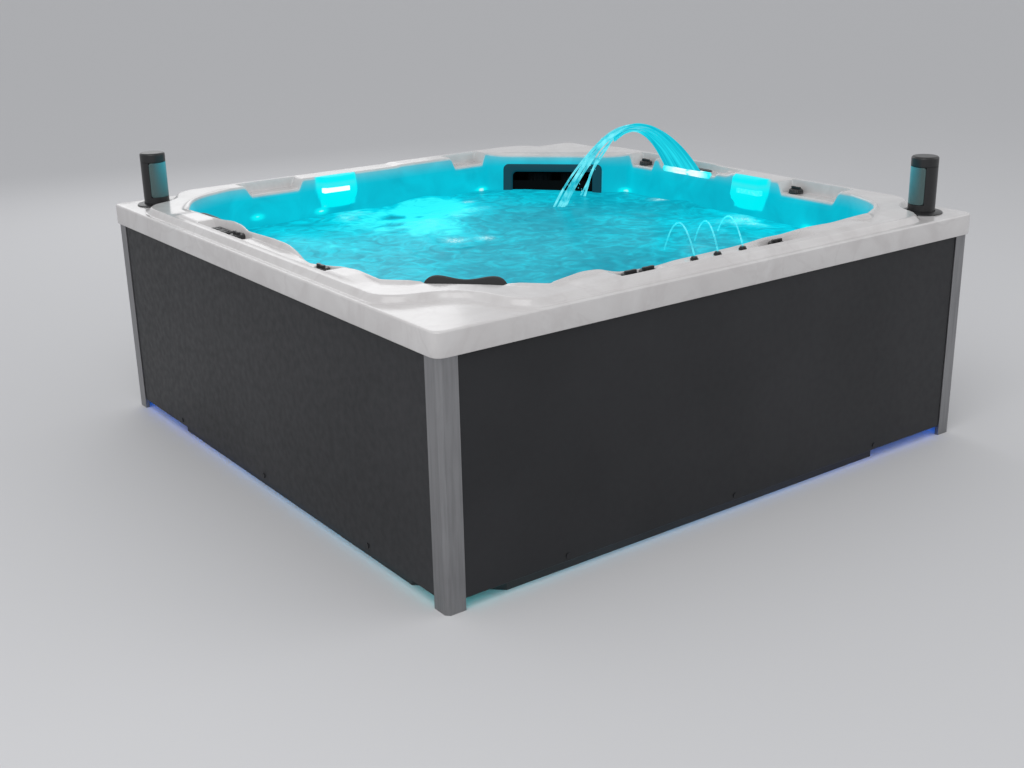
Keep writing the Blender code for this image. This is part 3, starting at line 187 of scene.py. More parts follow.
@dataclass
class Skin:
    """Points and faces of one or more closed surfaces.

    Attributes:
        points: Coordinates, one row each.
        quads: Corner numbers of the four-sided faces.
        tris: Corner numbers of the three-sided faces.
        values: Named values carried by the points.
    """

    points: Array
    quads: Array
    tris: Array
    values: dict[str, Array] = field(default_factory=dict)

    @staticmethod
    def band(lower: Array, upper: Array, around: int) -> Array:
        """Four-sided faces between pairs of rings.

        Args:
            lower: Number of the first point of the lower ring of each pair.
            upper: Number of the first point of the upper ring of each pair.
            around: Points round a ring.

        Returns:
            Corner numbers, one row for each face.
        """
        first = np.arange(around)
        following = (first + 1) % around
        low, high = lower[:, None], upper[:, None]
        return np.stack([low + first, low + following, high + following, high + first], -1).reshape(-1, 4)

    @classmethod
    def lofted(cls, rings: Array) -> "Skin":
        """Join closed rings, and close both ends with a fan round their middle.

        Args:
            rings: Coordinates as ring, place round the ring, axis.

        Returns:
            The joined skin.
        """
        count, around = rings.shape[:2]
        starts = np.arange(count) * around
        first = np.arange(around)
        following = (first + 1) % around
        low, high = count * around, count * around + 1
        points = np.concatenate([rings.reshape(-1, 3), rings[:1].mean(axis=1), rings[-1:].mean(axis=1)])
        below = np.stack([following, first, np.full(around, low)], -1)
        above = np.stack([starts[-1] + first, starts[-1] + following, np.full(around, high)], -1)
        return cls(points, cls.band(starts[:-1], starts[1:], around), np.concatenate([below, above]))

    @classmethod
    def looped(cls, rings: Array) -> "Skin":
        """Join closed rings, and the last of them to the first.

        Args:
            rings: Coordinates as ring, place round the ring, axis.

        Returns:
            The joined skin.
        """
        count, around = rings.shape[:2]
        starts = np.arange(count) * around
        quads = cls.band(starts, np.roll(starts, -1), around)
        return cls(rings.reshape(-1, 3), quads, np.zeros((0, 3), dtype=int))

    @classmethod
    def turned(cls, profile: Array, around: int = 48) -> "Skin":
        """Spin a profile of radii and heights round Z, closed at both ends.

        Args:
            profile: Radii and heights.
            around: Points round each ring.

        Returns:
            The closed skin.
        """
        angles = np.linspace(0, 2 * math.pi, around, endpoint=False)
        radii, heights = profile[:, :1], profile[:, 1:2]
        rings = np.stack([radii * np.cos(angles), radii * np.sin(angles), heights + 0 * angles], -1)
        return cls.lofted(rings)

    @classmethod
    def tube(cls, path: Array, radii: Array, around: int = 10) -> "Skin":
        """A round skin along a path, with its own radius at each point.

        Args:
            path: Points along the middle.
            radii: Radius at each point.
            around: Points round each ring.

        Returns:
            The closed tube.
        """
        ahead = np.gradient(path, axis=0)
        ahead /= np.linalg.norm(ahead, axis=1, keepdims=True)
        across = np.cross(ahead, np.array([0.02, 0.05, 1.0]))
        across /= np.linalg.norm(across, axis=1, keepdims=True)
        upward = np.cross(across, ahead)
        angles = np.linspace(0, 2 * math.pi, around, endpoint=False)
        spread = across[:, None] * np.cos(angles)[:, None] + upward[:, None] * np.sin(angles)[:, None]
        return cls.lofted(path[:, None] + spread * radii[:, None, None])

    @classmethod
    def joined(cls, skins: list["Skin"]) -> "Skin":
        """Put several skins into one, each still closed by itself.

        Args:
            skins: The skins.

        Returns:
            The joined skin.
        """
        points, quads, tris, total = [], [], [], 0
        for skin in skins:
            points.append(skin.points)
            quads.append(skin.quads + total)
            tris.append(skin.tris + total)
            total += len(skin.points)
        return cls(np.concatenate(points), np.concatenate(quads), np.concatenate(tris))

    def moved(self, place: Matrix) -> "Skin":
        """The same skin carried to a place."""
        return Skin(placed(self.points, place), self.quads, self.tris, self.values)

    def as_object(self, name: str, look: Material, sharp: float = 50.0) -> Piece:
        """Make an object of the skin.

        Args:
            name: Name of the piece.
            look: Its finish.
            sharp: Angle in degrees over which an edge stays sharp.

        Returns:
            The object, at the origin, with its place in its mesh.
        """
        corners = np.concatenate([self.quads.ravel(), self.tris.ravel()]).astype(np.int32)
        sizes = np.concatenate([np.full(len(self.quads), 4), np.full(len(self.tris), 3)])
        starts = np.concatenate([[0], np.cumsum(sizes)[:-1]]).astype(np.int32)
        mesh = bpy.data.meshes.new(name)
        mesh.vertices.add(len(self.points))
        mesh.vertices.foreach_set("co", self.points.astype(np.float32).ravel())
        mesh.loops.add(len(corners))
        mesh.loops.foreach_set("vertex_index", corners)
        mesh.polygons.add(len(sizes))
        mesh.polygons.foreach_set("loop_start", starts)
        mesh.update(calc_edges=True)
        for label, values in self.values.items():
            mesh.attributes.new(label, "FLOAT", "POINT").data.foreach_set("value", values.astype(np.float32))
        tidy_normals(mesh)
        mesh.materials.append(look)
        made = bpy.data.objects.new(name, mesh)
        bpy.context.scene.collection.objects.link(made)
        mesh.shade_smooth()
        mesh.set_sharp_from_angle(angle=math.radians(sharp))
        return made


def tidy_normals(mesh: bpy.types.Mesh) -> None:
    """Turn every face of a closed mesh outward.

    Args:
        mesh: The mesh.
    """
    form = bmesh.new()
    form.from_mesh(mesh)
    bmesh.ops.recalc_face_normals(form, faces=form.faces)
    form.to_mesh(mesh)
    form.free()


def rounded_outline(half_x: float, half_y: float, radius: float, steps: int = 8, straight: int = 10) -> Array:
    """Points round a rectangle with rounded corners.

    Args:
        half_x: Half its length.
        half_y: Half its width.
        radius: Radius of its corners.
        steps: Points on each corner.
        straight: Points on each straight run.

    Returns:
        Coordinates in its plane.
    """
    turns = np.linspace(0, math.pi / 2, steps)
    points = []
    for quarter, (x, y) in enumerate(((1, 1), (-1, 1), (-1, -1), (1, -1))):
        angle = turns + quarter * math.pi / 2
        centre = np.array([x * (half_x - radius), y * (half_y - radius)])
        points.append(centre + radius * np.stack([np.cos(angle), np.sin(angle)], -1))
    corners = np.concatenate(points)
    runs = []
    for quarter in range(4):
        arc = corners[quarter * steps : (quarter + 1) * steps]
        following = corners[(quarter + 1) % 4 * steps]
        share = np.linspace(0, 1, straight + 2)[1:-1, None]
        runs.append(np.concatenate([arc, arc[-1] + (following - arc[-1]) * share]))
    return np.concatenate(runs)


def pad_skin(outline: Array, height: float, edge: float, steps: int = 6) -> Skin:
    """A flat pad over an outline, with a rounded upper edge.

    Args:
        outline: Its outline in its plane.
        height: Its height.
        edge: Radius of its upper edge.
        steps: Rings on the rounded edge.

    Returns:
        The closed pad, standing on its plane.
    """
    middle = outline.mean(axis=0)
    reach = np.linalg.norm(outline - middle, axis=1, keepdims=True)
    rings = [np.column_stack([outline, np.zeros(len(outline))])]
    for angle in np.linspace(0, math.pi / 2, steps):
        drawn = outline - (outline - middle) / reach * edge * (1 - math.cos(angle))
        rings.append(np.column_stack([drawn, np.full(len(outline), height - edge * (1 - math.sin(angle)))]))
    inner = middle + (outline - middle) * 0.5
    rings.append(np.column_stack([inner, np.full(len(outline), height)]))
    return Skin.lofted(np.array(rings))


# Finishes


class Tree:
    """A finish's node tree while it is made."""

    def __init__(self, name: str) -> None:
        """Start a finish with an empty principled shader.

        Args:
            name: Name of the finish.
        """
        self.material = bpy.data.materials.new(name)
        self.material.use_nodes = True
        self.nodes = self.material.node_tree.nodes
        self.links = self.material.node_tree.links
        self.shader = self.nodes["Principled BSDF"]
        self.output = self.nodes["Material Output"]

    def node(self, kind: str, feeds: dict[str | int, object], **settings: object) -> bpy.types.Node:
        """Add a node.

        Args:
            kind: Kind of node.
            feeds: What each of its inputs takes.
            settings: Its own settings.

        Returns:
            The node.
        """
        made = self.nodes.new(kind)
        for label, value in settings.items():
            setattr(made, label, value)
        for label, source in feeds.items():
            self.feed(source, made.inputs[label])
        return made

    def feed(self, source: Socket | float | tuple, target: Socket) -> None:
        """Link a socket, or set a plain value on the target.

        Args:
            source: Socket or value.
            target: Socket that takes it.
        """
        if isinstance(source, Socket):
            self.links.new(source, target)
        elif isinstance(source, tuple) and len(source) == 3 and target.type == "RGBA":
            target.default_value = (*source, 1.0)
        else:
            target.default_value = source

    def set(self, **values: object) -> None:
        """Feed the shader's own sockets, named with underscores for spaces."""
        for label, value in values.items():
            self.feed(value, self.shader.inputs[label.replace("_", " ")])

    def place(self, stretch: Stretch = Stretch.EVEN, shift: Place = (0.0, 0.0, 0.0)) -> Socket:
        """Object coordinates, stretched and shifted."""
        feeds = {"Vector": self.node("ShaderNodeTexCoord", {}).outputs["Object"], "Location": shift}
        return self.node("ShaderNodeMapping", {**feeds, "Scale": stretch.value}).outputs["Vector"]

    def noise(self, where: Socket, scale: float, detail: float = 4.0, bend: float = 0.0) -> Socket:
        """Strength of a noise pattern at a place, by its scale, how fine it goes and how much it is bent."""
        feeds = {"Vector": where, "Scale": scale, "Detail": detail, "Distortion": bend}
        return self.node("ShaderNodeTexNoise", feeds).outputs["Fac"]

    def ramp(self, source: Socket, stops: tuple[tuple[float, Colour], ...]) -> Socket:
        """Colours along a value.

        Args:
            source: The value.
            stops: Places along it with their colours.

        Returns:
            The colour.
        """
        made = self.node("ShaderNodeValToRGB", {"Fac": source})
        band = made.color_ramp
        while len(band.elements) < len(stops):
            band.elements.new(0.5)
        for element, (where, colour) in zip(band.elements, stops):
            element.position = where
            element.color = (*colour, 1.0)
        return made.outputs["Color"]

    def sum(self, kind: str, first: object, second: object) -> Socket:
        """One step of arithmetic on two values."""
        return self.node("ShaderNodeMath", {0: first, 1: second}, operation=kind).outputs["Value"]

    def spread(self, source: Socket, low: float, high: float, start: float, end: float) -> Socket:
        """A value's range from low to high carried to the range from start to end, held at both ends."""
        feeds = {"Value": source, "From Min": low, "From Max": high, "To Min": start, "To Max": end}
        return self.node("ShaderNodeMapRange", feeds).outputs["Result"]

    def mix(self, share: object, first: object, second: object) -> Socket:
        """A colour between two, by the share of the second."""
        return self.node("ShaderNodeMix", {"Factor": share, 6: first, 7: second}, data_type="RGBA").outputs[2]

    def value(self, label: str) -> Socket:
        """A value that the points carry."""
        return self.node("ShaderNodeAttribute", {}, attribute_name=label).outputs["Fac"]

    def bump(self, height: Socket, strength: float, depth: float) -> None:
        """Rough the surface by a pattern, with its strength and its height in metres."""
        feeds = {"Strength": strength, "Distance": depth, "Height": height}
        self.set(Normal=self.node("ShaderNodeBump", feeds).outputs["Normal"])


@dataclass(frozen=True)
class MarbledAcrylic:
    """Glossy pearl acrylic with faint marbling, and on its inner wall the water's light painted as a cyan glow
    over a dark base.
    """

    name: str = "white_marbled_acrylic"
    pearl: Colour = (0.60, 0.583, 0.577)
    dull: Colour = (0.555, 0.535, 0.530)
    pale: Colour = (0.635, 0.622, 0.617)
    vein: Colour = (0.515, 0.490, 0.486)
    # dark teal base colour under the painted glow where the water's light falls on the inner wall
    painted_glow_base: Colour = (0.002, 0.03, 0.036)
    deep_glow: Colour = (0.0, 0.40, 0.54)
    bright_glow: Colour = (0.0, 0.66, 0.83)
    beam_glow: Colour = (0.0, 0.90, 0.96)
    lamp_glow: Colour = (0.85, 1.0, 1.0)

    def material(self) -> Material:
        """Build the finish.

        Returns:
            The finish.
        """
        tree = Tree(self.name)
        where = tree.place()
        marble = tree.noise(where, 5.0, 7.0, 1.4)
        streak = tree.noise(tree.place(shift=(3.0, 1.0, 5.0)), 2.4, 5.0, 2.6)
        veins = tree.spread(tree.sum("ABSOLUTE", tree.sum("SUBTRACT", streak, 0.5), 0.0), 0.0, 0.05, 1.0, 0.0)
        cloud = tree.ramp(marble, ((0.32, self.dull), (0.52, self.pearl), (0.74, self.pale)))
        base = tree.mix(tree.sum("MULTIPLY", veins, 0.35), cloud, self.vein)
        lit, beam = tree.value("lit"), tree.value("beam")
        flicker = tree.spread(tree.noise(where, 6.0, 4.0, 0.8), 0.3, 0.7, 0.05, 0.60)
        nearness = tree.sum("MINIMUM", tree.sum("ADD", flicker, beam), 1.0)
        glow = tree.mix(nearness, self.deep_glow, self.bright_glow)
        glow = tree.mix(tree.spread(beam, 0.35, 0.95, 0.0, 1.0), glow, self.beam_glow)
        glow = tree.mix(tree.spread(beam, 1.25, 1.9, 0.0, 1.0), glow, self.lamp_glow)
        tree.set(Base_Color=tree.mix(lit, base, self.painted_glow_base))
        tree.set(Roughness=tree.spread(lit, 0.0, 1.0, 0.20, 0.5))
        tree.set(Specular_IOR_Level=tree.spread(lit, 0.0, 1.0, 0.5, 0.06))
        tree.set(Coat_Weight=tree.spread(lit, 0.0, 1.0, 0.30, 0.0), Coat_Roughness=0.08)
        # painted glow: the light of the lamps under water on the wall, brightest on the pilasters and at the
        # lamps
        tree.set(Emission_Color=glow, Emission_Strength=tree.sum("MULTIPLY", lit, 0.95))
        tree.bump(tree.noise(where, 55.0, 2.0), 0.02, 0.001)
        return tree.material


@dataclass(frozen=True)
class Solid:
    """A finish of one colour with a light and dark cloud, a fine grain and an uneven shine."""

    name: str
    dark: Colour
    light: Colour
    roughness: float
    metallic: float = 0.0
    grain: float = 160.0
    relief: float = 0.0002
    stretch: Stretch = Stretch.EVEN
    glow: Colour = (0.0, 0.0, 0.0)
    shine: float = 0.5

    def material(self) -> Material:
        """Build the finish.

        Returns:
            The finish.
        """
        tree = Tree(self.name)
        where = tree.place(self.stretch)
        tree.set(Emission_Color=self.glow, Emission_Strength=float(any(self.glow)))
        tree.set(Specular_IOR_Level=self.shine)
        grain = tree.noise(where, self.grain, 4.0)
        cloud = tree.noise(tree.place(), 4.0, 3.0)
        blend = tree.sum("ADD", tree.sum("MULTIPLY", grain, 0.6), tree.sum("MULTIPLY", cloud, 0.4))
        tree.set(Base_Color=tree.ramp(blend, ((0.38, self.dark), (0.62, self.light))), Metallic=self.metallic)
        tree.set(Roughness=tree.spread(grain, 0.3, 0.7, self.roughness - 0.06, self.roughness + 0.06))
        tree.bump(grain, 0.35, self.relief)
        return tree.material


@dataclass(frozen=True)
class GraphiteBoard:
    """Near black composite board with a fine pale speckle and an orange-peel skin."""

    name: str = "graphite_composite_panel"
    board: Colour = (0.0155, 0.016, 0.018)
    sheen: Colour = (0.021, 0.0215, 0.024)
    speck: Colour = (0.050, 0.050, 0.055)

    def material(self) -> Material:
        """Build the finish.

        Returns:
            The finish.
        """
        tree = Tree(self.name)
        where = tree.place()
        specks = tree.node("ShaderNodeTexVoronoi", {"Vector": where, "Scale": 420.0})
        dots = tree.spread(specks.outputs["Distance"], 0.10, 0.22, 1.0, 0.0)
        board = tree.ramp(tree.noise(where, 2.4, 3.0), ((0.35, self.board), (0.70, self.sheen)))
        tree.set(Base_Color=tree.mix(tree.sum("MULTIPLY", dots, 0.55), board, self.speck))
        tree.set(Roughness=tree.spread(tree.noise(where, 38.0, 2.0), 0.3, 0.7, 0.40, 0.52))
        tree.set(Specular_IOR_Level=0.30)
        tree.bump(tree.noise(where, 260.0, 3.0), 0.4, 0.0003)
        return tree.material


@dataclass(frozen=True)
class Glow:
    """A frosted lens over a lamp."""

    name: str = "frosted_light_lens"
    colour: Colour = (0.55, 0.95, 1.0)
    strength: float = 1.0

    def material(self) -> Material:
        """Build the finish.

        Returns:
            The finish.
        """
        tree = Tree(self.name)
        haze = tree.noise(tree.place(), 60.0, 2.0)
        tree.set(Base_Color=(0.75, 0.85, 0.87), Roughness=0.35)
        pale = tuple(0.5 + 0.5 * part for part in self.colour)
        tree.set(Emission_Color=tree.ramp(haze, ((0.35, self.colour), (0.7, pale))))
        tree.set(Emission_Strength=self.strength)
        return tree.material


@dataclass(frozen=True)
class BathWater:
    """Churned, lit water with its light painted as glow: deep teal in the swirls, cyan between them, and white
    where it foams and at painted lamp glints.
    """

    name: str = "bath_water"
    swirl: Colour = (0.0, 0.27, 0.38)
    middle: Colour = (0.003, 0.40, 0.53)
    light: Colour = (0.001, 0.66, 0.82)
    # brightest painted glow of the lit water, where it churns most
    foam: Colour = (0.03, 0.95, 1.0)
    # white of the foam, also used for the painted lamp glints
    whiteness: Colour = (0.62, 0.99, 1.0)

    def material(self) -> Material:
        """Build the finish.

        Returns:
            The finish.
        """
        tree = Tree(self.name)
        where = tree.place()
        churn = tree.noise(where, 11.0, 7.0, 1.8)
        level = tree.sum("ADD", tree.value("glow"), tree.spread(churn, 0.3, 0.7, -0.19, 0.19))
        stops = ((0.10, self.swirl), (0.40, self.middle), (0.70, self.light), (0.95, self.foam))
        body = tree.ramp(level, stops)
        fleck = tree.spread(tree.noise(where, 120.0, 6.0, 0.6), 0.50, 0.64, 0.0, 1.0)
        # the foam value also carries the painted lamp glints of the spots
        whiteness = tree.sum("MULTIPLY", tree.value("foam"), tree.sum("ADD", fleck, 0.25))
        whiteness = tree.sum("MINIMUM", whiteness, 1.0)
        tree.set(Base_Color=(0.001, 0.02, 0.026), Roughness=0.32, IOR=1.33, Specular_IOR_Level=0.045)
        tree.set(Emission_Color=tree.mix(whiteness, body, self.whiteness), Emission_Strength=0.95)
        tree.bump(tree.noise(where, 40.0, 5.0, 0.8), 0.16, 0.004)
        return tree.material


@dataclass(frozen=True)
class ClearStream:
    """Thin clear water in the air, tinted by the light that it carries.

    body is the share of it that is seen where it is thinnest and where it is thickest. Drawn streaks run
    along the flow by the values "across" and "onward" of its points.
    """

    name: str = "clear_stream"
    tint: Colour = (0.01, 0.50, 0.62)
    body: Pair = (0.35, 0.85)
    drawn: bool = False
    bright: Colour = (0.22, 0.88, 0.95)

    def material(self) -> Material:
        """Build the finish.

        Returns:
            The finish.
        """
        tree = Tree(self.name)
        if self.drawn:
            across = tree.sum("MULTIPLY", tree.value("across"), 11.0)
            onward = tree.sum("MULTIPLY", tree.value("onward"), 2.0)
            flow = tree.node("ShaderNodeCombineXYZ", {"X": across, "Y": onward}).outputs["Vector"]
            streaks = tree.noise(flow, 1.0, 5.0, 0.8)
        else:
            streaks = tree.noise(tree.place(), 22.0, 3.0, 0.6)
        bright = tree.spread(streaks, 0.35, 0.68, 0.0, 1.0)
        tree.set(Base_Color=(0.01, 0.12, 0.15), Roughness=0.10, IOR=1.33, Specular_IOR_Level=0.2)
        tree.set(Emission_Color=tree.mix(bright, self.tint, self.bright), Emission_Strength=0.95)
        clear = tree.node("ShaderNodeBsdfTransparent", {"Color": (0.90, 0.99, 1.0)})
        edge = tree.node("ShaderNodeLayerWeight", {"Blend": 0.45})
        facing = tree.sum("MULTIPLY", edge.outputs["Facing"], 0.50)
        share = tree.sum("ADD", facing, tree.spread(streaks, 0.32, 0.62, *self.body))
        feeds = {0: tree.sum("MINIMUM", share, 0.97), 1: clear.outputs[0], 2: tree.shader.outputs[0]}
        tree.feed(tree.node("ShaderNodeMixShader", feeds).outputs[0], tree.output.inputs["Surface"])
        return tree.material


@dataclass(frozen=True)
class UnderGlow:
    """The strip under the cabinet: blue, turning to teal toward the front corner."""

    name: str = "underglow"
    blue: Colour = (0.0, 0.16, 1.0)
    teal: Colour = (0.0, 0.55, 0.62)
    strength: float = 3.0

    def material(self) -> Material:
        """Build the finish.

        Returns:
            The finish.
        """
        tree = Tree(self.name)
        split = tree.node("ShaderNodeSeparateXYZ", {"Vector": tree.place()})
        nearness = tree.spread(tree.sum("ADD", split.outputs["X"], split.outputs["Y"]), -2.2, -0.4, 1.0, 0.0)
        haze = tree.spread(tree.noise(tree.place(), 30.0, 2.0), 0.3, 0.7, 0.85, 1.1)
        tree.set(Base_Color=(0.60, 0.68, 0.72), Roughness=0.4)
        tree.set(Emission_Color=tree.mix(nearness, self.blue, self.teal))
        tree.set(Emission_Strength=tree.sum("MULTIPLY", haze, self.strength))
        return tree.material


@dataclass(frozen=True)
class SpotLens:
    """A frosted lens with bright spots where its lamps sit behind it."""

    name: str = "spot_lens"
    haze: Colour = (0.005, 0.90, 0.96)
    spot: Colour = (0.86, 1.0, 1.0)

    def material(self) -> Material:
        """Build the finish.

        Returns:
            The finish.
        """
        tree = Tree(self.name)
        cloud = tree.spread(tree.noise(tree.place(), 80.0, 2.0), 0.3, 0.7, -0.08, 0.08)
        share = tree.sum("ADD", tree.value("beam"), cloud)
        tree.set(Base_Color=(0.02, 0.12, 0.14), Roughness=0.4, Specular_IOR_Level=0.1)
        tree.set(Emission_Color=tree.mix(share, self.haze, self.spot))
        tree.set(Emission_Strength=tree.spread(share, 0.0, 1.0, 0.95, 1.05))
        return tree.material


@dataclass(frozen=True)
class DrilledMesh:
    """Grey-green metal mesh with small round holes in rows, and the water's light painted on it as a teal
    glow.

    pitch is the number of waves to the metre of the pattern of holes.
    """

    name: str = "dark_speaker_mesh"
    metal: Colour = (0.115, 0.185, 0.185)
    pitch: float = 230.0
    # teal of the painted light from the water
    glow: Colour = (0.0, 0.20, 0.26)

    def material(self) -> Material:
        """Build the finish.

        Returns:
            The finish.
        """
        tree = Tree(self.name)
        turn = 2 * math.pi * self.pitch
        across = tree.sum("SINE", tree.sum("MULTIPLY", tree.value("arc"), turn), 0.0)
        upward = tree.sum("SINE", tree.sum("MULTIPLY", tree.value("rise"), turn), 0.0)
        holes = tree.sum("MULTIPLY", across, upward)
        dots = tree.spread(holes, 0.15, 0.45, 0.0, 1.0)
        tree.set(Base_Color=tree.mix(dots, self.metal, (0.010, 0.012, 0.012)), Metallic=0.55, Roughness=0.42)
        # painted light from the water: strongest at the window's middle and toward its top, where the rim
        # shades it less
        beside = tree.spread(tree.sum("ABSOLUTE", tree.value("arc"), 0.0), 0.0, 0.060, 1.0, 0.0)
        light = tree.sum("MULTIPLY", beside, tree.spread(tree.value("rise"), 0.03, 0.16, 0.15, 1.0))
        tree.set(Emission_Color=self.glow, Emission_Strength=light)
        tree.bump(tree.spread(holes, 0.1, 0.5, 1.0, 0.0), 0.5, 0.0008)
        return tree.material


@dataclass
class Finishes:
    """Every finish of the tub, made once and shared."""

    looks: dict[str, Material] = field(default_factory=dict)

    def __post_init__(self) -> None:
        """Build each finish under the name of its slot."""
        makers = (
            MarbledAcrylic(),
            GraphiteBoard(),
            Solid(
                "anodised_corner_post", (0.235, 0.235, 0.242), (0.30, 0.30, 0.308), 0.40,
                metallic=0.9, grain=110.0, relief=0.0001, stretch=Stretch.UPRIGHT,
            ),
            Solid("black_moulded_plastic", (0.010, 0.010, 0.011), (0.018, 0.018, 0.019), 0.34, grain=320.0),
            Solid(
                "black_head_rest_foam", (0.013, 0.013, 0.014), (0.024, 0.024, 0.025), 0.55, 0.0, 520.0, 0.0004
            ),
            DrilledMesh(),
            Glow(),
            Solid(
                "satin_stainless_steel", (0.52, 0.52, 0.53), (0.66, 0.66, 0.67), 0.27,
                metallic=1.0, grain=140.0, relief=0.0001, stretch=Stretch.LEVEL,
            ),
            Solid(
                "treated_timber", (0.24, 0.15, 0.07), (0.42, 0.29, 0.15), 0.75,
                grain=70.0, relief=0.0008, stretch=Stretch.LEVEL,
            ),
            Solid("black_base_pan", (0.016, 0.016, 0.017), (0.028, 0.028, 0.029), 0.58, 0.0, 120.0, 0.0005),
            Solid("white_pipe", (0.68, 0.68, 0.66), (0.78, 0.78, 0.76), 0.32, grain=60.0),
            Solid("motor_enamel", (0.030, 0.050, 0.080), (0.055, 0.085, 0.130), 0.38, 0.0, 200.0, 0.0003),
            Solid("pleated_filter_cloth", (0.70, 0.72, 0.75), (0.84, 0.86, 0.88), 0.85, 0.0, 400.0, 0.0004),
            Solid("grey_equipment_case", (0.20, 0.21, 0.22), (0.28, 0.29, 0.30), 0.48, 0.0, 220.0, 0.0003),
            BathWater(),
            ClearStream(),
            ClearStream("falling_sheet", (0.0, 0.38, 0.49), (0.66, 0.95), True, (0.02, 0.70, 0.81)),
            ClearStream("fine_stream", (0.02, 0.62, 0.74), (0.0, 0.22), False, (0.10, 0.84, 0.92)),
            Solid(
                "shaded_plastic", (0.0016, 0.0020, 0.0022), (0.0026, 0.0032, 0.0034), 0.70,
                grain=300.0, shine=0.05,
            ),
            Solid(
                "shaded_filter", (0.010, 0.016, 0.019), (0.018, 0.028, 0.032), 0.90,
                grain=400.0, relief=0.0004, shine=0.05,
            ),
            Solid(
                "lit_plastic", (0.002, 0.006, 0.008), (0.003, 0.009, 0.011), 0.45,
                grain=320.0, glow=(0.003, 0.046, 0.068), shine=0.12,
            ),
            UnderGlow(),
            SpotLens(),
            Glow("spout_light", (0.62, 0.97, 1.0), 1.0),
            SpotLens("spout_haze", (0.03, 0.93, 0.98)),
        )
        for maker in makers:
            self.looks[maker.name] = maker.material()

    def __getitem__(self, name: str) -> Material:
        """The finish of a slot."""
        return self.looks[name]

    def dress_frame(self, nodes: dict[str, Piece]) -> None:
        """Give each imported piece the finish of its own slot.

        Args:
            nodes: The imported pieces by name.
        """
        special = {
            "underglow_strip": "underglow",
            "cascade_spout_right": "spout_haze",
            "cascade_spout_left": "spout_light",
            "weir_flap": "shaded_plastic",
            "skimmer_housing": "shaded_plastic",
            "filter_cartridge_left": "shaded_filter",
            "filter_cartridge_right": "shaded_filter",
        }
        for name, piece in nodes.items():
            for slot in piece.material_slots:
                if slot.material is None:
                    continue
                wanted = special.get(name, slot.material.name.split(".")[0])
                if wanted in self.looks and slot.material is not self.looks[wanted]:
                    slot.material = self.looks[wanted]


# Shell


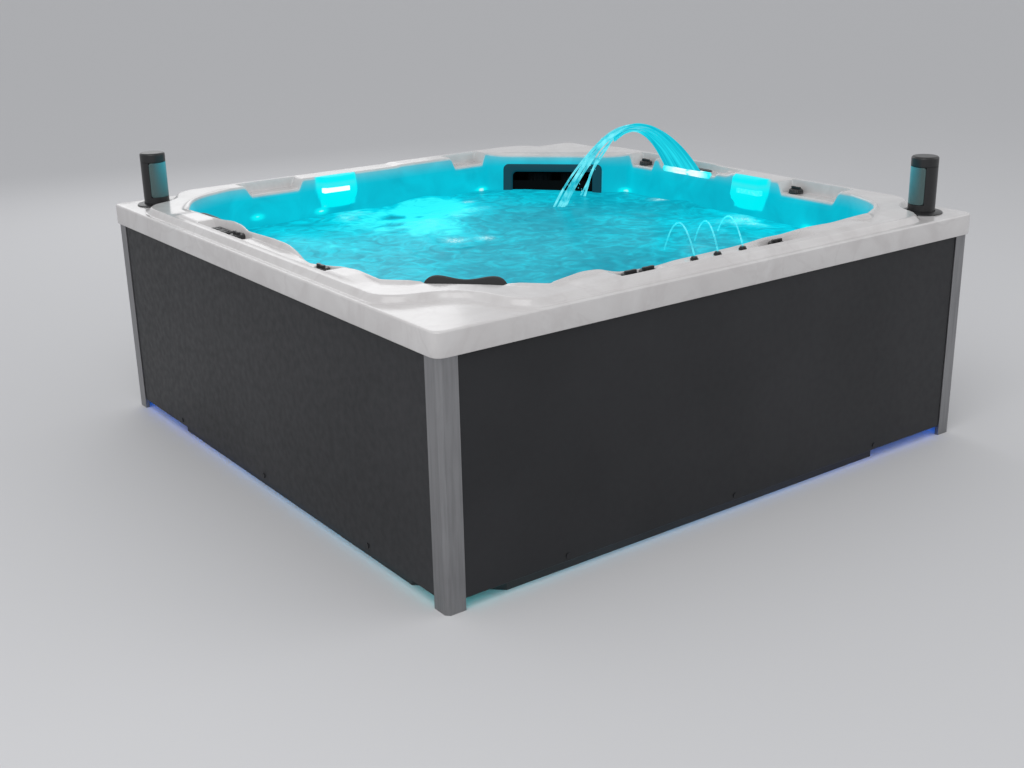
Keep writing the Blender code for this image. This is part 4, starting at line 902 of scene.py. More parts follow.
@dataclass
class ShellSizes:
    """Driving sizes of the moulded shell, in metres, with the rows that shape its four sides.

    Each row of a side holds a place along it as a share of half_side, then how far the deck is scooped
    and the wall swells into a pilaster there, as shares of scoop_depth and pilaster_depth. Each row of
    edges holds such a place and how far the deck's inner edge stands over the deck there; a side without
    rows lets its edge follow the scoops. Values for corners follow the sides: each corner ends the side of
    its number. corner_legs is the length that an inner corner cuts off each side, corner_mids the place of
    its middle as a share of that length, and each row of corner_dips how far the edge sinks there, where
    that starts and how long it takes, as shares of the corner's way. Each wall row has one value for each
    place that ShellPlan.wall names.
    """

    half_side: float = 1.150
    lip_top: float = 0.836
    fascia_height: float = 0.075
    skin: float = 0.008
    lip_ease: float = 0.007
    lip_corner: float = 0.080
    ledge_width: float = 0.018
    riser_run: float = 0.020
    deck_height: float = 0.022
    back_rise: float = 0.004
    platforms: Row = (0.160, 0.230, 0.160, 0.230)
    platform_flare: float = 0.055
    inner_half: float = 1.018
    corner_legs: Row = (0.312, 0.450, 0.300, 0.351)
    corner_mids: Row = (0.34, 0.50, 0.34, 0.50)
    crown: float = 0.010
    corner_dips: tuple[Place, ...] = (
        (0.0, 0.0, 1.0), (0.009, 0.0, 0.25), (0.0, 0.0, 1.0), (0.010, 0.26, 0.10)
    )
    scoop_depth: float = 0.046
    edge_round: float = 0.012
    pilaster_depth: float = 0.045
    arm_pitch: float = 0.700
    water_level: float = 0.693
    wall_halves: Row = (1.008, 0.973, 0.905, 0.545, 0.515, 0.500, 0.440)
    wall_heights: Row = (0.785, 0.540, 0.455, 0.440, 0.410, 0.185, 0.125)
    wall_waves: Row = (0.0, 0.0, 0.0, 0.024, 0.024, 0.0, 0.0)
    wall_arms: Row = (0.0, 0.0, 0.040, 0.040, 0.0, 0.0, 0.0)
    sides: tuple[tuple[Place, ...], ...] = (
        (
            (-0.574, 0.00, 0.0), (-0.413, 0.00, 0.0), (-0.374, 0.45, 0.0),
            (-0.261, 0.45, 0.0), (-0.217, 0.12, 0.0),
            (0.061, 0.12, 0.0), (0.122, 0.15, 0.0), (0.161, 0.45, 0.0), (0.257, 0.45, 0.0),
            (0.330, 0.00, 0.0), (0.604, 0.00, 0.0),
        ),
        (
            (-0.604, 0.00, 0.0), (-0.565, 0.00, 0.0), (-0.535, 1.00, 0.0), (-0.314, 1.00, 0.0),
            (-0.292, 0.00, 0.0), (-0.258, 0.00, 0.0), (-0.231, 0.00, 1.0), (-0.174, 0.00, 1.1),
            (-0.117, 0.00, 1.0), (-0.087, 0.00, 0.0), (-0.035, 0.30, 0.0), (-0.002, 0.30, 0.0),
            (0.020, 0.60, 0.0), (0.298, 0.60, 0.0), (0.318, 0.00, 0.0), (0.330, 0.00, 0.0),
            (0.352, 1.00, 0.0), (0.458, 1.00, 0.0), (0.482, 0.00, 0.0),
        ),
        (
            (-0.480, 0.00, 0.0), (-0.463, 1.00, 0.0), (-0.337, 1.00, 0.0), (-0.313, 0.00, 0.0),
            (0.113, 0.00, 0.0), (0.143, 0.00, 1.0), (0.200, 0.00, 1.1), (0.257, 0.00, 1.0),
            (0.287, 0.00, 0.0), (0.330, 0.00, 0.0), (0.354, 0.85, 0.0), (0.535, 0.85, 0.0),
            (0.565, 0.00, 0.0), (0.604, 0.00, 0.0),
        ),
        (
            (-0.604, 0.00, 0.0), (-0.400, 0.00, 0.0), (-0.365, 0.40, 0.0),
            (-0.160, 0.40, 0.0), (-0.122, 0.12, 0.0), (-0.017, 0.12, 0.0), (0.104, 0.15, 0.0),
            (0.191, 0.30, 0.0), (0.252, 0.50, 0.0), (0.380, 0.50, 0.0), (0.420, 0.00, 0.0),
            (0.574, 0.00, 0.0),
        ),
    )
    edges: tuple[tuple[Pair, ...], ...] = (
        (
            (-0.600, 0.005), (-0.549, 0.013), (-0.485, 0.0215), (-0.429, 0.018), (-0.392, 0.004),
            (-0.358, -0.004), (-0.282, -0.008), (-0.229, -0.009), (-0.168, -0.004), (-0.102, -0.003),
            (0.042, -0.001), (0.108, 0.002), (0.176, 0.008), (0.241, 0.007), (0.311, 0.012),
            (0.375, 0.013), (0.462, 0.011), (0.528, 0.015), (0.604, 0.018),
        ),
        (),
        (),
        (
            (-0.600, 0.006), (-0.530, 0.009), (-0.443, 0.010), (-0.348, 0.015), (-0.270, 0.024),
            (-0.209, 0.021), (-0.174, 0.007), (-0.096, 0.010), (-0.009, 0.014), (0.083, 0.013),
            (0.130, 0.001), (0.158, -0.012), (0.182, -0.025), (0.230, -0.022), (0.284, -0.014),
            (0.348, -0.004), (0.396, 0.005), (0.475, 0.012), (0.574, 0.008),
        ),
    )


@dataclass
class Ring:
    """One ring of the shell seen from above.

    Each point has its plan, how far the deck is scooped there, its run along its side, how far the deck's
    inner edge stands over the deck, and the height of the deck's crown.
    """

    plan: Array
    scoop: Array
    run: Array
    edge: Array
    crown: Array


@dataclass
class ShellPlan:
    """The shell's rings, all cut at the same places so that they join into one skin.

    along_side and along_bend count the points on a side and on each bend of a corner, and bend_reach is how
    far a bend is rounded as a share of its arms. As shares of the deck's width, lip_band is where the inner
    edge starts and over which it reaches its height, and crown_run that over which the crown rises.
    pilaster_fades are places down the wall and the share taken off the pilasters there.
    """

    sizes: ShellSizes = field(default_factory=ShellSizes)
    along_side: int = 142
    along_bend: int = 7
    bend_reach: float = 0.47
    lip_band: Pair = (0.78, 0.10)
    crown_run: float = 0.25
    pilaster_fades: tuple[Row, ...] = ((0.0, 0.08, 0.30, 1.0), (0.0, 0.10, 1.04, 1.2))

    def corner(self, style: Style, side: int, half: float, scale: float) -> tuple[Pair, ...]:
        """Three bends of a ring at the corner that ends a side.

        Args:
            style: How the ring turns its corners.
            side: The side.
            half: Distance of the ring's sides from the middle.
            scale: Size of the corner against the deck's inner edge.

        Returns:
            Each bend as two distances back from the crossing of the two sides.
        """
        sizes = self.sizes
        if style is Style.INNER:
            leg = sizes.corner_legs[side] * scale + (half - sizes.inner_half * scale) * (2 - math.sqrt(2))
            mid = leg * sizes.corner_mids[side]
            return (leg, 0.0), (mid, mid), (0.0, leg)
        if style is Style.RISER:
            run = sizes.platforms[side] + sizes.platform_flare
            return (run, 0.0), (sizes.platforms[side], sizes.platforms[side]), (0.0, run)
        return (sizes.lip_corner, 0.0), (0.0, 0.0), (0.0, sizes.lip_corner)

    def bends(self, path: Array) -> Array:
        """The inner points of a bent line, each replaced by a short curve between its two arms.

        Args:
            path: Points of the line.

        Returns:
            Points of the curves.
        """
        steps = np.linspace(0, 1, self.along_bend)[:, None]
        curves = []
        for before, bend, after in zip(path, path[1:], path[2:]):
            start, end = bend + (before - bend) * self.bend_reach, bend + (after - bend) * self.bend_reach
            curves.append((1 - steps) ** 2 * start + 2 * steps * (1 - steps) * bend + steps**2 * end)
        return np.concatenate(curves)

    def ring(
        self,
        half: float,
        style: Style,
        scale: float = 1.0,
        pilaster: float = 0.0,
        wave: float = 0.0,
        fade: float = 0.0,
    ) -> Ring:
        """One ring: four sides at a distance from the middle, joined by four corners.

        Args:
            half: Distance of its sides from the middle.
            style: How it turns its corners.
            scale: Size of its corners and side places against the deck's inner edge.
            pilaster: How far the pilasters swell into the tub.
            wave: How far the seat's front edge swings in and out between the arms.
            fade: Share taken off the pilasters, which narrows them to a rounded foot.

        Returns:
            The ring.
        """
        sizes = self.sizes
        plans, scoops, runs, edges, crowns = [], [], [], [], []
        for side, rows in enumerate(sizes.sides):
            table = np.array(rows)
            share = np.linspace(table[0, 0], table[-1, 0], self.along_side)
            along = share * sizes.half_side * scale
            reach = np.where(along < 0, along / along[0], along / along[-1])
            arms = np.cos(2 * math.pi * along / (sizes.arm_pitch * scale)) * (1 - reach**6)
            centre = (table[:, 0] * table[:, 2]).sum() / max(table[:, 2].sum(), 1e-6)
            drawn = centre + (share - centre) * (1 + 0.75 * min(fade, 1.0))
            swell = eased_lookup(np.clip(drawn, share[0], share[-1]), table[:, 0], table[:, 2])
            swell = np.maximum(swell - fade, 0.0)
            out = half - pilaster * swell - wave * arms
            following = sizes.sides[(side + 1) % 4][0][0] * sizes.half_side * scale
            corners = [(half - a, half - b) for a, b in self.corner(style, side, half, scale)]
            bend = self.bends(np.array([(along[-1], out[-1]), *corners, (half, -following)]))
            run = np.concatenate([np.stack([along, out], axis=1), bend])
            turn = math.radians(90 * side)
            x = run[:, 0] * math.cos(turn) + run[:, 1] * math.sin(turn)
            y = run[:, 0] * math.sin(turn) - run[:, 1] * math.cos(turn)
            plans.append(np.stack([x, y], axis=1))
            scoop = eased_lookup(share, table[:, 0], table[:, 1])
            ends = smooth((share - share[0]) / 0.08) * smooth((share[-1] - share) / 0.08)
            turned = np.linspace(0, 1, len(bend))
            first = self.edge(side, share, scoop)
            last = self.edge((side + 1) % 4, np.array([-0.60]), np.zeros(1))
            ramp = first[-1] + (last[0] - first[-1]) * turned
            depth, start, length = sizes.corner_dips[side]
            dip = depth * smooth((np.minimum(turned, 1 - turned) - start) / length)
            scoops.append(np.concatenate([scoop, np.zeros(len(bend))]))
            runs.append(np.concatenate([along, np.full(len(bend), sizes.arm_pitch / 2)]))
            edges.append(np.concatenate([first, ramp - dip]))
            crowns.append(np.concatenate([ends * sizes.crown * bool(sizes.edges[side]), np.zeros(len(bend))]))
        return Ring(*(np.concatenate(part) for part in (plans, scoops, runs, edges, crowns)))

    def edge(self, side: int, share: Array, scoop: Array) -> Array:
        """Height of a side's inner edge over the deck, from its rows or else from its scoops.

        The rows are joined by straight lines, and each height is the mean of five places close together.

        Args:
            side: The side.
            share: Places along it.
            scoop: How far the deck is scooped at those places.

        Returns:
            The heights.
        """
        rows = np.array(self.sizes.edges[side])
        if not len(rows):
            return -self.sizes.scoop_depth * scoop
        steps = (-0.014, -0.007, 0, 0.007, 0.014)
        return np.mean([np.interp(share + step, rows[:, 0], rows[:, 1]) for step in steps], axis=0)

    def deck_level(self, plan: Array) -> Array:
        """Height of the deck over a plan: raised a step round the back corner.

        Args:
            plan: Places seen from above.

        Returns:
            The heights.
        """
        sizes = self.sizes
        step = smooth((plan.min(axis=1) / sizes.half_side - 0.064) / 0.028)
        return sizes.lip_top + sizes.deck_height + sizes.back_rise * step

    def deck(self, share: float, scooped: float, drop: float = 0.0, shift: float = 0.0) -> Array:
        """A ring on the deck.

        Args:
            share: Place between the riser's top and the inner edge.
            scooped: How far the scoops have reached their depth.
            drop: How far below the deck it runs.
            shift: How far the inner edge is moved outward.

        Returns:
            Its points.
        """
        sizes = self.sizes
        outer = self.ring(sizes.half_side - sizes.ledge_width - sizes.riser_run - shift, Style.RISER)
        inner = self.ring(sizes.inner_half + shift, Style.INNER, pilaster=sizes.pilaster_depth * (shift == 0))
        plan = outer.plan + (inner.plan - outer.plan) * share
        lip = float(smooth(np.array((share - self.lip_band[0]) / self.lip_band[1])))
        crown = outer.crown * smooth(np.array(share / self.crown_run))
        hollow = scooped * (sizes.scoop_depth * outer.scoop + crown * smooth(outer.scoop / 0.10))
        height = self.deck_level(outer.plan) + (1 - lip) * (crown - hollow) + lip * outer.edge
        return np.column_stack([plan, height - drop])

    def wall(self, share: float) -> Row:
        """Wall from the deck's edge to the floor as half width, height, pilaster fade, wave and arm.

        Args:
            share: Place down the wall: 0 at its top, 1 at its middle, 2 at the back's foot, 3 at the seat's
                edge, 4 under that edge, 5 at the footwell's foot and 6 on its floor.

        Returns:
            Half width, height, fade, wave and arm rise there.
        """
        sizes = self.sizes
        rows = (sizes.wall_halves, sizes.wall_heights, sizes.wall_waves, sizes.wall_arms)
        half, height, wave, arm = (float(np.interp(share, np.arange(len(row)), row)) for row in rows)
        return half, height, float(np.interp(share, *self.pilaster_fades)), wave, arm

    def wall_ring(self, share: float, shift: float) -> Array:
        """A ring of the wall, or of its underside where it is shifted outward.

        Args:
            share: Place down the wall.
            shift: Distance outward.

        Returns:
            Its points.
        """
        half, height, fade, wave, arm = self.wall(share)
        scale = min(1.0, half / self.sizes.inner_half)
        pilaster = self.sizes.pilaster_depth * (shift < 0.004)
        ring = self.ring(half + shift, Style.INNER, scale, pilaster, wave, fade)
        ridge = arm * np.cos(math.pi * ring.run / (self.sizes.arm_pitch * scale)) ** 8
        return np.column_stack([ring.plan, height - shift - arm / 2 + ridge])


@dataclass
class ShellLight:
    """Light that the lamps under water throw on the shell.

    A lamp's light is flatter than round by lamp_flatness, with the strength and reach of a wide halo and a
    narrow core. Each pilaster has the axis along its side, its middle there and the axis that points out;
    its light is half wide to each side, shrinks by narrowing for each metre below full_height, has a soft
    edge, starts least_out from the middle, and comes up at its foot's height over a second one. Over
    spill_height it spills onto the deck, spill_out being how far out and the width of its soft edge. The
    wall's own light is edge_share at edge_height and full edge_run below it.
    """

    lamps: tuple[Place, ...] = (
        (0.985, 0.543, 0.700), (-0.61, 0.985, 0.730), (-0.317, 0.985, 0.716), (0.51, 0.99, 0.702),
        (0.985, -0.52, 0.700),
    )
    lamp_flatness: float = 2.4
    halo: Pair = (0.40, 0.075)
    core: Pair = (1.7, 0.024)
    pilasters: tuple[tuple[int, float, int], ...] = ((1, -0.200, 0), (0, -0.230, 1))
    half: float = 0.106
    narrowing: float = 0.30
    full_height: float = 0.80
    soft_edge: float = 0.014
    least_out: float = 0.93
    foot: Pair = (0.722, 0.010)
    spill_height: float = 0.835
    spill_out: Pair = (1.026, 0.010)
    edge_height: float = 0.850
    edge_run: float = 0.05
    edge_share: float = 0.82

    def wall(self, points: Array) -> Array:
        """Light on the wall by height: full up to the rounding of the deck's edge."""
        return self.edge_share + 0.18 * smooth((self.edge_height - points[:, 2]) / self.edge_run)

    def beams(self, points: Array) -> Array:
        """Extra light on the two pilasters and round the lamps near the water's edge.

        Each lamp adds a wide and a narrow bell curve of the distance to it.

        Args:
            points: Places on the shell.

        Returns:
            Light at each place, from 0 to 2.
        """
        total = np.zeros(len(points))
        for lamp in self.lamps:
            away = np.linalg.norm((points - np.array(lamp)) * (1.0, 1.0, self.lamp_flatness), axis=1)
            total += sum(power * np.exp(-((away / reach) ** 2)) for power, reach in (self.halo, self.core))
        return np.clip(total + self.tongues(points), 0.0, 2.0)

    def tongues(self, points: Array) -> Array:
        """Light on the two pilasters, which narrows toward their foot.

        Args:
            points: Places on the shell.

        Returns:
            Light at each place, from 0 to 1.
        """
        total = np.zeros(len(points))
        foot, rise = self.foot
        for across, middle, out in self.pilasters:
            beside = np.abs(points[:, across] - middle)
            half = self.half - self.narrowing * np.clip(self.full_height - points[:, 2], 0, 0.1)
            beam = smooth((half - beside) / self.soft_edge) * (points[:, out] > self.least_out)
            total += beam * smooth((points[:, 2] - foot) / rise)
        return total

    def spill(self, points: Array) -> Array:
        """Light from the pilasters that reaches over the inner third of the deck.

        Args:
            points: Places on the shell.

        Returns:
            Light at each place, from 0 to 1.
        """
        reach, soft = self.spill_out
        inside = smooth((reach - np.abs(points[:, :2]).max(axis=1)) / soft)
        return self.tongues(points) * (points[:, 2] > self.spill_height) * inside


@dataclass
class MouldedShell:
    """The acrylic shell, from its fascia over ledge, riser, deck and scoops down the wall to the footwell.

    speaker_bore is the radius of the bores at the two speakers and bore_span the heights between which they
    are cut. bay is the half width, foot and top of the skimmer bay in the skimmer's own frame, and bay_span
    its front and back. under_rings counts the rings on the underside of wall and deck, which come first.
    """

    plan: ShellPlan = field(default_factory=ShellPlan)
    light: ShellLight = field(default_factory=ShellLight)
    speakers: tuple[Pair, ...] = ((1.02, -1.02), (-1.02, 1.02))
    speaker_bore: float = 0.0545
    bore_span: Pair = (0.80, 0.88)
    bay: Place = (0.1903, 0.5717, 0.7923)
    bay_span: Pair = (0.080, -0.060)
    under_rings: int = 27

    def rings(self) -> tuple[Array, Array]:
        """The skin's rings from the middle of its underside over the fascia to the footwell's floor.

        The fascia is upright, its lip a quarter round, the riser an S curve, the scoop's back an S curve and
        the deck's inner edge a quarter ellipse; the wall leans in and turns into seat and footwell.

        Returns:
            The rings' points, and the light that reaches each of them.
        """
        plan, sizes = self.plan, self.plan.sizes
        foot, top = sizes.lip_top - sizes.fascia_height, sizes.lip_top
        rings: list[Array] = []
        lit: list[float] = []

        def add(points: Array, height: float | Array | None = None, light: float = 0.0) -> None:
            """Keep one ring.

            Args:
                points: Its points.
                height: Its height, unless its points have one.
                light: Light that reaches it.
            """
            if height is not None:
                points = np.column_stack([points, np.broadcast_to(height, len(points))])
            rings.append(points)
            lit.append(light)

        def flat(half: float, style: Style) -> Array:
            """Plan of a ring outside the tub."""
            return plan.ring(half, style).plan

        for share in (6.0, 5.0, 4.0, 3.0, 2.0, 1.0, *np.linspace(0.36, 0.0, 13)):
            add(plan.wall_ring(float(share), sizes.skin))
        add(plan.deck(1.0, 1.0, sizes.skin + sizes.edge_round, sizes.skin))
        for share in (0.88, 0.83, 0.78, 0.24, 0.13):
            add(plan.deck(share, 1.0, sizes.skin + 0.35 * sizes.edge_round * (share > 0.8), sizes.skin))
        add(plan.deck(0.0, 0.0, sizes.skin, sizes.skin))
        add(flat(sizes.half_side - sizes.ledge_width - sizes.skin, Style.RISER), top - sizes.skin)
        add(flat(sizes.half_side - sizes.skin, Style.LIP), top - sizes.skin)
        add(flat(sizes.half_side - sizes.skin, Style.LIP), foot + 0.002)
        add(flat(sizes.half_side - sizes.skin + 0.002, Style.LIP), foot)
        for angle in np.linspace(0, math.pi / 2, 4):
            half = sizes.half_side - 0.003 * (1 - math.sin(angle))
            add(flat(half, Style.LIP), foot + 0.003 * (1 - math.cos(angle)))
        for angle in np.linspace(0, math.pi / 2, 7):
            drawn = sizes.lip_ease * (1 - math.cos(angle))
            add(flat(sizes.half_side - drawn, Style.LIP), top - sizes.lip_ease * (1 - math.sin(angle)))
        lip = flat(sizes.half_side - sizes.lip_ease, Style.LIP)
        riser = flat(sizes.half_side - sizes.ledge_width, Style.RISER)
        for share in (0.25, 0.5, 0.75, 0.95):
            add(lip + (riser - lip) * share, top)
        level = plan.deck_level(flat(sizes.half_side - sizes.ledge_width - sizes.riser_run, Style.RISER))
        for share in np.linspace(0, 1, 12):
            rise = float(smooth(np.array(share * 1.06 - 0.03)))
            half = sizes.half_side - sizes.ledge_width - sizes.riser_run * share
            add(flat(half, Style.RISER), top + (level - top) * rise)
        for share in (0.04, 0.08, 0.115):
            add(plan.deck(share, 0.0))
        for share in np.linspace(0, 1, 10):
            add(plan.deck(0.13 + 0.11 * share, float(smooth(np.array(share)))))
        for share in (*np.linspace(0.28, 0.77, 6), 0.79, 0.81, 0.83, 0.85, 0.87):
            add(plan.deck(float(share), 1.0))
        for angle in np.linspace(0, math.pi / 2, 12):
            drop = sizes.edge_round * (1 - math.cos(angle))
            light = 0.85 * (angle / (math.pi / 2)) ** 5
            add(plan.deck(0.88 + 0.12 * math.sin(angle), 1.0, drop), light=light)
        edge = rings[-1]
        wall_top = plan.wall_ring(0.0, 0.0)
        for share in (0.1, 0.3, 0.5, 0.7, 0.85):
            add(edge + (wall_top - edge) * share, light=min(1.0, 0.85 + 0.8 * share))
        steps = [np.linspace(place, place + 1, count)[1:] for place, count in enumerate((29, 6, 8, 5, 4, 5))]
        for share in np.concatenate([[0.0], *steps]):
            add(plan.wall_ring(float(share), 0.0), light=1.0)
        return np.array(rings), np.array(lit)

    def cutter(self, skin: Skin, name: str) -> Piece:
        """A hidden shape that cuts a hole.

        Args:
            skin: Its skin.
            name: Its name.

        Returns:
            The shape.
        """
        piece = skin.as_object(name, bpy.data.materials.new(name))
        bpy.context.scene.collection.objects.unlink(piece)
        return piece

    def bores(self) -> list[Skin]:
        """Shapes of the holes for the two speakers and the skimmer bay.

        Returns:
            The shapes.
        """
        angles = np.linspace(0, 2 * math.pi, 64, endpoint=False)
        circle = np.stack([np.cos(angles), np.sin(angles)], -1)
        skins = []
        for x, y in self.speakers:
            plan = np.array([x, y]) + circle * self.speaker_bore
            rings = [np.column_stack([plan, np.full(len(plan), z)]) for z in self.bore_span]
            skins.append(Skin.lofted(np.array(rings)))
        half, foot, top = self.bay
        bay = np.array([(-half, foot), (half, foot), (half, top), (-half, top)])
        walls = [np.column_stack([bay[:, 0], np.full(len(bay), y), bay[:, 1]]) for y in self.bay_span]
        skins.append(Skin.lofted(np.array(walls)).moved(SkimmerCover().place()))
        return skins

    def make(self, frame: dict, looks: Finishes) -> list[Piece]:
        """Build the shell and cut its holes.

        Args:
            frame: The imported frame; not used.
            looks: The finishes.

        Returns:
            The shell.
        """
        rings, lit = self.rings()
        skin = Skin.lofted(rings)
        light = np.concatenate([np.repeat(lit, rings.shape[1]), [0.0, 1.0]])
        beam = self.light.beams(skin.points) * (light > 0)
        spill = self.light.spill(skin.points) * self.upper(rings)
        wall = light * self.light.wall(skin.points)
        skin.values = {"lit": np.maximum(wall, spill), "beam": np.maximum(beam, spill)}
        shell = skin.as_object("moulded_shell", looks["white_marbled_acrylic"], 42.0)
        self.cut(shell, [self.cutter(bore, f"bore_{i}") for i, bore in enumerate(self.bores())])
        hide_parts("acrylic_shell")
        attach(shell, TUB)
        return [shell]

    def upper(self, rings: Array) -> Array:
        """1 at the points of the shell's upper skin, 0 at those of its underside.

        Args:
            rings: The shell's rings.

        Returns:
            One value for each point.
        """
        count, around = rings.shape[:2]
        seen = np.repeat(np.arange(count) >= self.under_rings, around)
        return np.append(seen, [False, False]).astype(float)

    def cut(self, shell: Piece, cutters: list[Piece]) -> None:
        """Cut the holes and keep the result as the shell's own mesh.

        Args:
            shell: The shell.
            cutters: Shapes of the holes.
        """
        for cutter in cutters:
            bpy.context.scene.collection.objects.link(cutter)
            hole = shell.modifiers.new("hole", "BOOLEAN")
            hole.operation = "DIFFERENCE"
            hole.solver = "MANIFOLD"
            hole.object = cutter
        bpy.context.view_layer.update()
        graph = bpy.context.evaluated_depsgraph_get()
        mesh = bpy.data.meshes.new_from_object(shell.evaluated_get(graph))
        shell.modifiers.clear()
        shell.data = mesh
        for cutter in cutters:
            bpy.data.objects.remove(cutter, do_unlink=True)


# Water


@dataclass
class Bath:
    """The churning water that fills the shell.

    rows counts its rings from the wall to the middle, and depth is the thickness of the modelled layer. Each
    mound, where jets lift the water, is a place, reach, height and froth; each wash, which is lit more or
    less, a place, reach and how much; each spot, a white patch that paints foam and the glints of lamps, a
    place and reach.
    """

    plan: ShellPlan
    rows: int = 150
    depth: float = 0.030
    mounds: tuple[Row, ...] = (
        (-0.10, 0.50, 0.20, 0.013, 0.55), (0.22, 0.64, 0.20, 0.010, 0.45), (-0.60, 0.57, 0.20, 0.012, 0.35),
        (0.13, -0.30, 0.22, 0.012, 0.25), (0.58, -0.35, 0.22, 0.012, 0.35), (0.75, -0.52, 0.18, 0.010, 0.40),
        (-0.60, -0.08, 0.24, 0.012, 0.20), (0.56, 0.42, 0.12, 0.012, 0.75), (0.14, -0.62, 0.10, 0.006, 0.35),
        (0.32, -0.55, 0.10, 0.006, 0.35), (0.46, -0.53, 0.10, 0.006, 0.35), (0.88, -0.23, 0.16, 0.010, 0.80),
        (-0.23, 0.88, 0.16, 0.010, 0.80), (-0.55, -0.55, 0.22, 0.010, 0.15), (0.55, 0.80, 0.20, 0.010, 0.40),
        (0.19, 0.97, 0.10, 0.020, 0.30), (0.96, 0.16, 0.10, 0.022, 0.30),
    )
    washes: tuple[Row, ...] = (
        (-0.62, 0.25, 0.60, 0.20), (0.80, -0.25, 0.42, 0.20), (0.35, 0.85, 0.40, 0.06),
        (-0.35, 0.75, 0.30, 0.12), (-0.03, 0.78, 0.23, 0.40), (0.14, 0.72, 0.17, 0.34),
        (-0.15, 0.58, 0.17, 0.42), (-0.09, 0.44, 0.14, 0.34), (0.14, 0.88, 0.16, 0.28),
        (0.90, -0.25, 0.12, 0.25), (-0.22, 0.90, 0.12, 0.22), (-0.30, -0.45, 0.45, -0.04),
        (-0.12, 0.74, 0.055, -0.70), (-0.20, 0.62, 0.05, -0.60), (-0.03, 0.68, 0.03, -0.45),
        (-0.24, 0.50, 0.05, -0.35), (-0.10, 0.28, 0.10, 0.16), (0.62, 0.62, 0.16, 0.08),
    )
    # white spots that paint foam and the glints of lamps
    spots: tuple[Row, ...] = (
        (0.919, -0.258, 0.022), (-0.05, 0.18, 0.030), (-0.155, 0.23, 0.035), (0.30, 0.80, 0.02),
        (0.97, 0.30, 0.03), (0.88, -0.34, 0.018),
    )

    def swell(self, x: Array, y: Array) -> tuple[Array, Array, Array]:
        """Height, glow and foam of the water over a plan, with painted lamp glints in the foam.

        Mounds stand where the jets lift the water, and four sizes of random hills are laid over them.
        Foam gathers on the mounds and on the crests, and the spots add white foam and painted lamp glints.

        Args:
            x: First coordinates.
            y: Second coordinates.

        Returns:
            Height above the still level, glow from 0 to 1, and foam with painted lamp glints from 0 to 1.
        """
        height = np.zeros_like(x)
        glow = np.full_like(x, 0.37)
        foam = np.zeros_like(x)
        for cx, cy, reach, rise, whiteness in self.mounds:
            near = np.exp(-((x - cx) ** 2 + (y - cy) ** 2) / reach**2)
            height += near * rise
            foam += near * whiteness * 0.55
        for cx, cy, reach, share in self.washes:
            glow += share * np.exp(-(((x - cx) ** 2 + (y - cy) ** 2) / reach**2) ** 1.4)
        twist_x = x + 0.05 * ripple(x, y, 0.17, 5)
        twist_y = y + 0.05 * ripple(x, y, 0.17, 6)
        broad = ripple(twist_x, twist_y, 0.19, 1)
        middle = ripple(twist_x, twist_y, 0.085, 2)
        small = 1 - 2 * np.abs(ripple(twist_x, twist_y, 0.048, 3))
        fine = ripple(x, y, 0.024, 4)
        calm = 1 - 0.6 * smooth((0.25 - y - 0.3 * np.abs(x)) / 0.5)
        height += 0.0030 * broad + 0.0022 * middle * calm + 0.0010 * small * calm + 0.0004 * fine * calm
        crest = 0.5 + 0.5 * np.clip(0.6 * broad + 0.7 * middle + 0.3 * small, -1, 1)
        glow += 0.22 * (crest - 0.5)
        foam = np.clip((foam * (0.35 + 0.9 * crest) - 0.24) * 1.5, 0, 1)
        # white spots: foam and painted lamp glints
        for cx, cy, reach in self.spots:
            foam = np.maximum(foam, np.exp(-((x - cx) ** 2 + (y - cy) ** 2) / reach**2))
        return height, np.clip(glow, 0, 1), foam

    def make(self, looks: Finishes) -> list[Piece]:
        """Build the water as a closed layer whose rim lies just inside the wall.

        Args:
            looks: The finishes.

        Returns:
            The water.
        """
        sizes = self.plan.sizes
        wall_top, wall_middle = sizes.wall_heights[:2]
        rim = self.plan.wall_ring((wall_top - sizes.water_level) / (wall_top - wall_middle), 0.003)[::2, :2]
        shares = np.linspace(0, 1, self.rows)[1:] ** 0.85
        plan = rim[None] * shares[::-1][:, None, None]
        x, y = plan[..., 0], plan[..., 1]
        height, glow, foam = self.swell(x, y)
        top = np.stack([x, y, sizes.water_level + height], -1)
        low = np.column_stack([rim, np.full(len(rim), sizes.water_level - self.depth)])
        inner = np.column_stack([rim * 0.5, np.full(len(rim), sizes.water_level - self.depth)])
        rings = np.concatenate([inner[None], low[None], top])
        skin = Skin.lofted(rings)
        dull = np.zeros((2, len(rim)))
        skin.values = {
            "glow": np.concatenate([np.concatenate([dull + 0.3, glow]).ravel(), [0.3, 0.4]]),
            # the foam value also carries the painted lamp glints
            "foam": np.concatenate([np.concatenate([dull, foam]).ravel(), [0.0, 0.0]]),
        }
        water = skin.as_object("bath_water", looks["bath_water"], 80.0)
        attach(water, TUB)
        return [water]


@dataclass
class Arc:
    """A thrown stream's path: it leaves a mouth, peaks and lands."""

    mouth: Array
    landing: Array
    peak: float

    def path(self, shares: Array) -> Array:
        """Points of the parabola at shares of its way.

        Args:
            shares: Shares of its way.

        Returns:
            The points.
        """
        rise, drop = self.peak - self.mouth[2], self.peak - self.landing[2]
        fall = (math.sqrt(rise) + math.sqrt(drop)) ** 2
        climb = 2 * math.sqrt(rise * fall)
        flat = self.mouth[None, :2] + (self.landing - self.mouth)[None, :2] * shares[:, None]
        return np.column_stack([flat, self.mouth[2] + climb * shares - fall * shares**2])


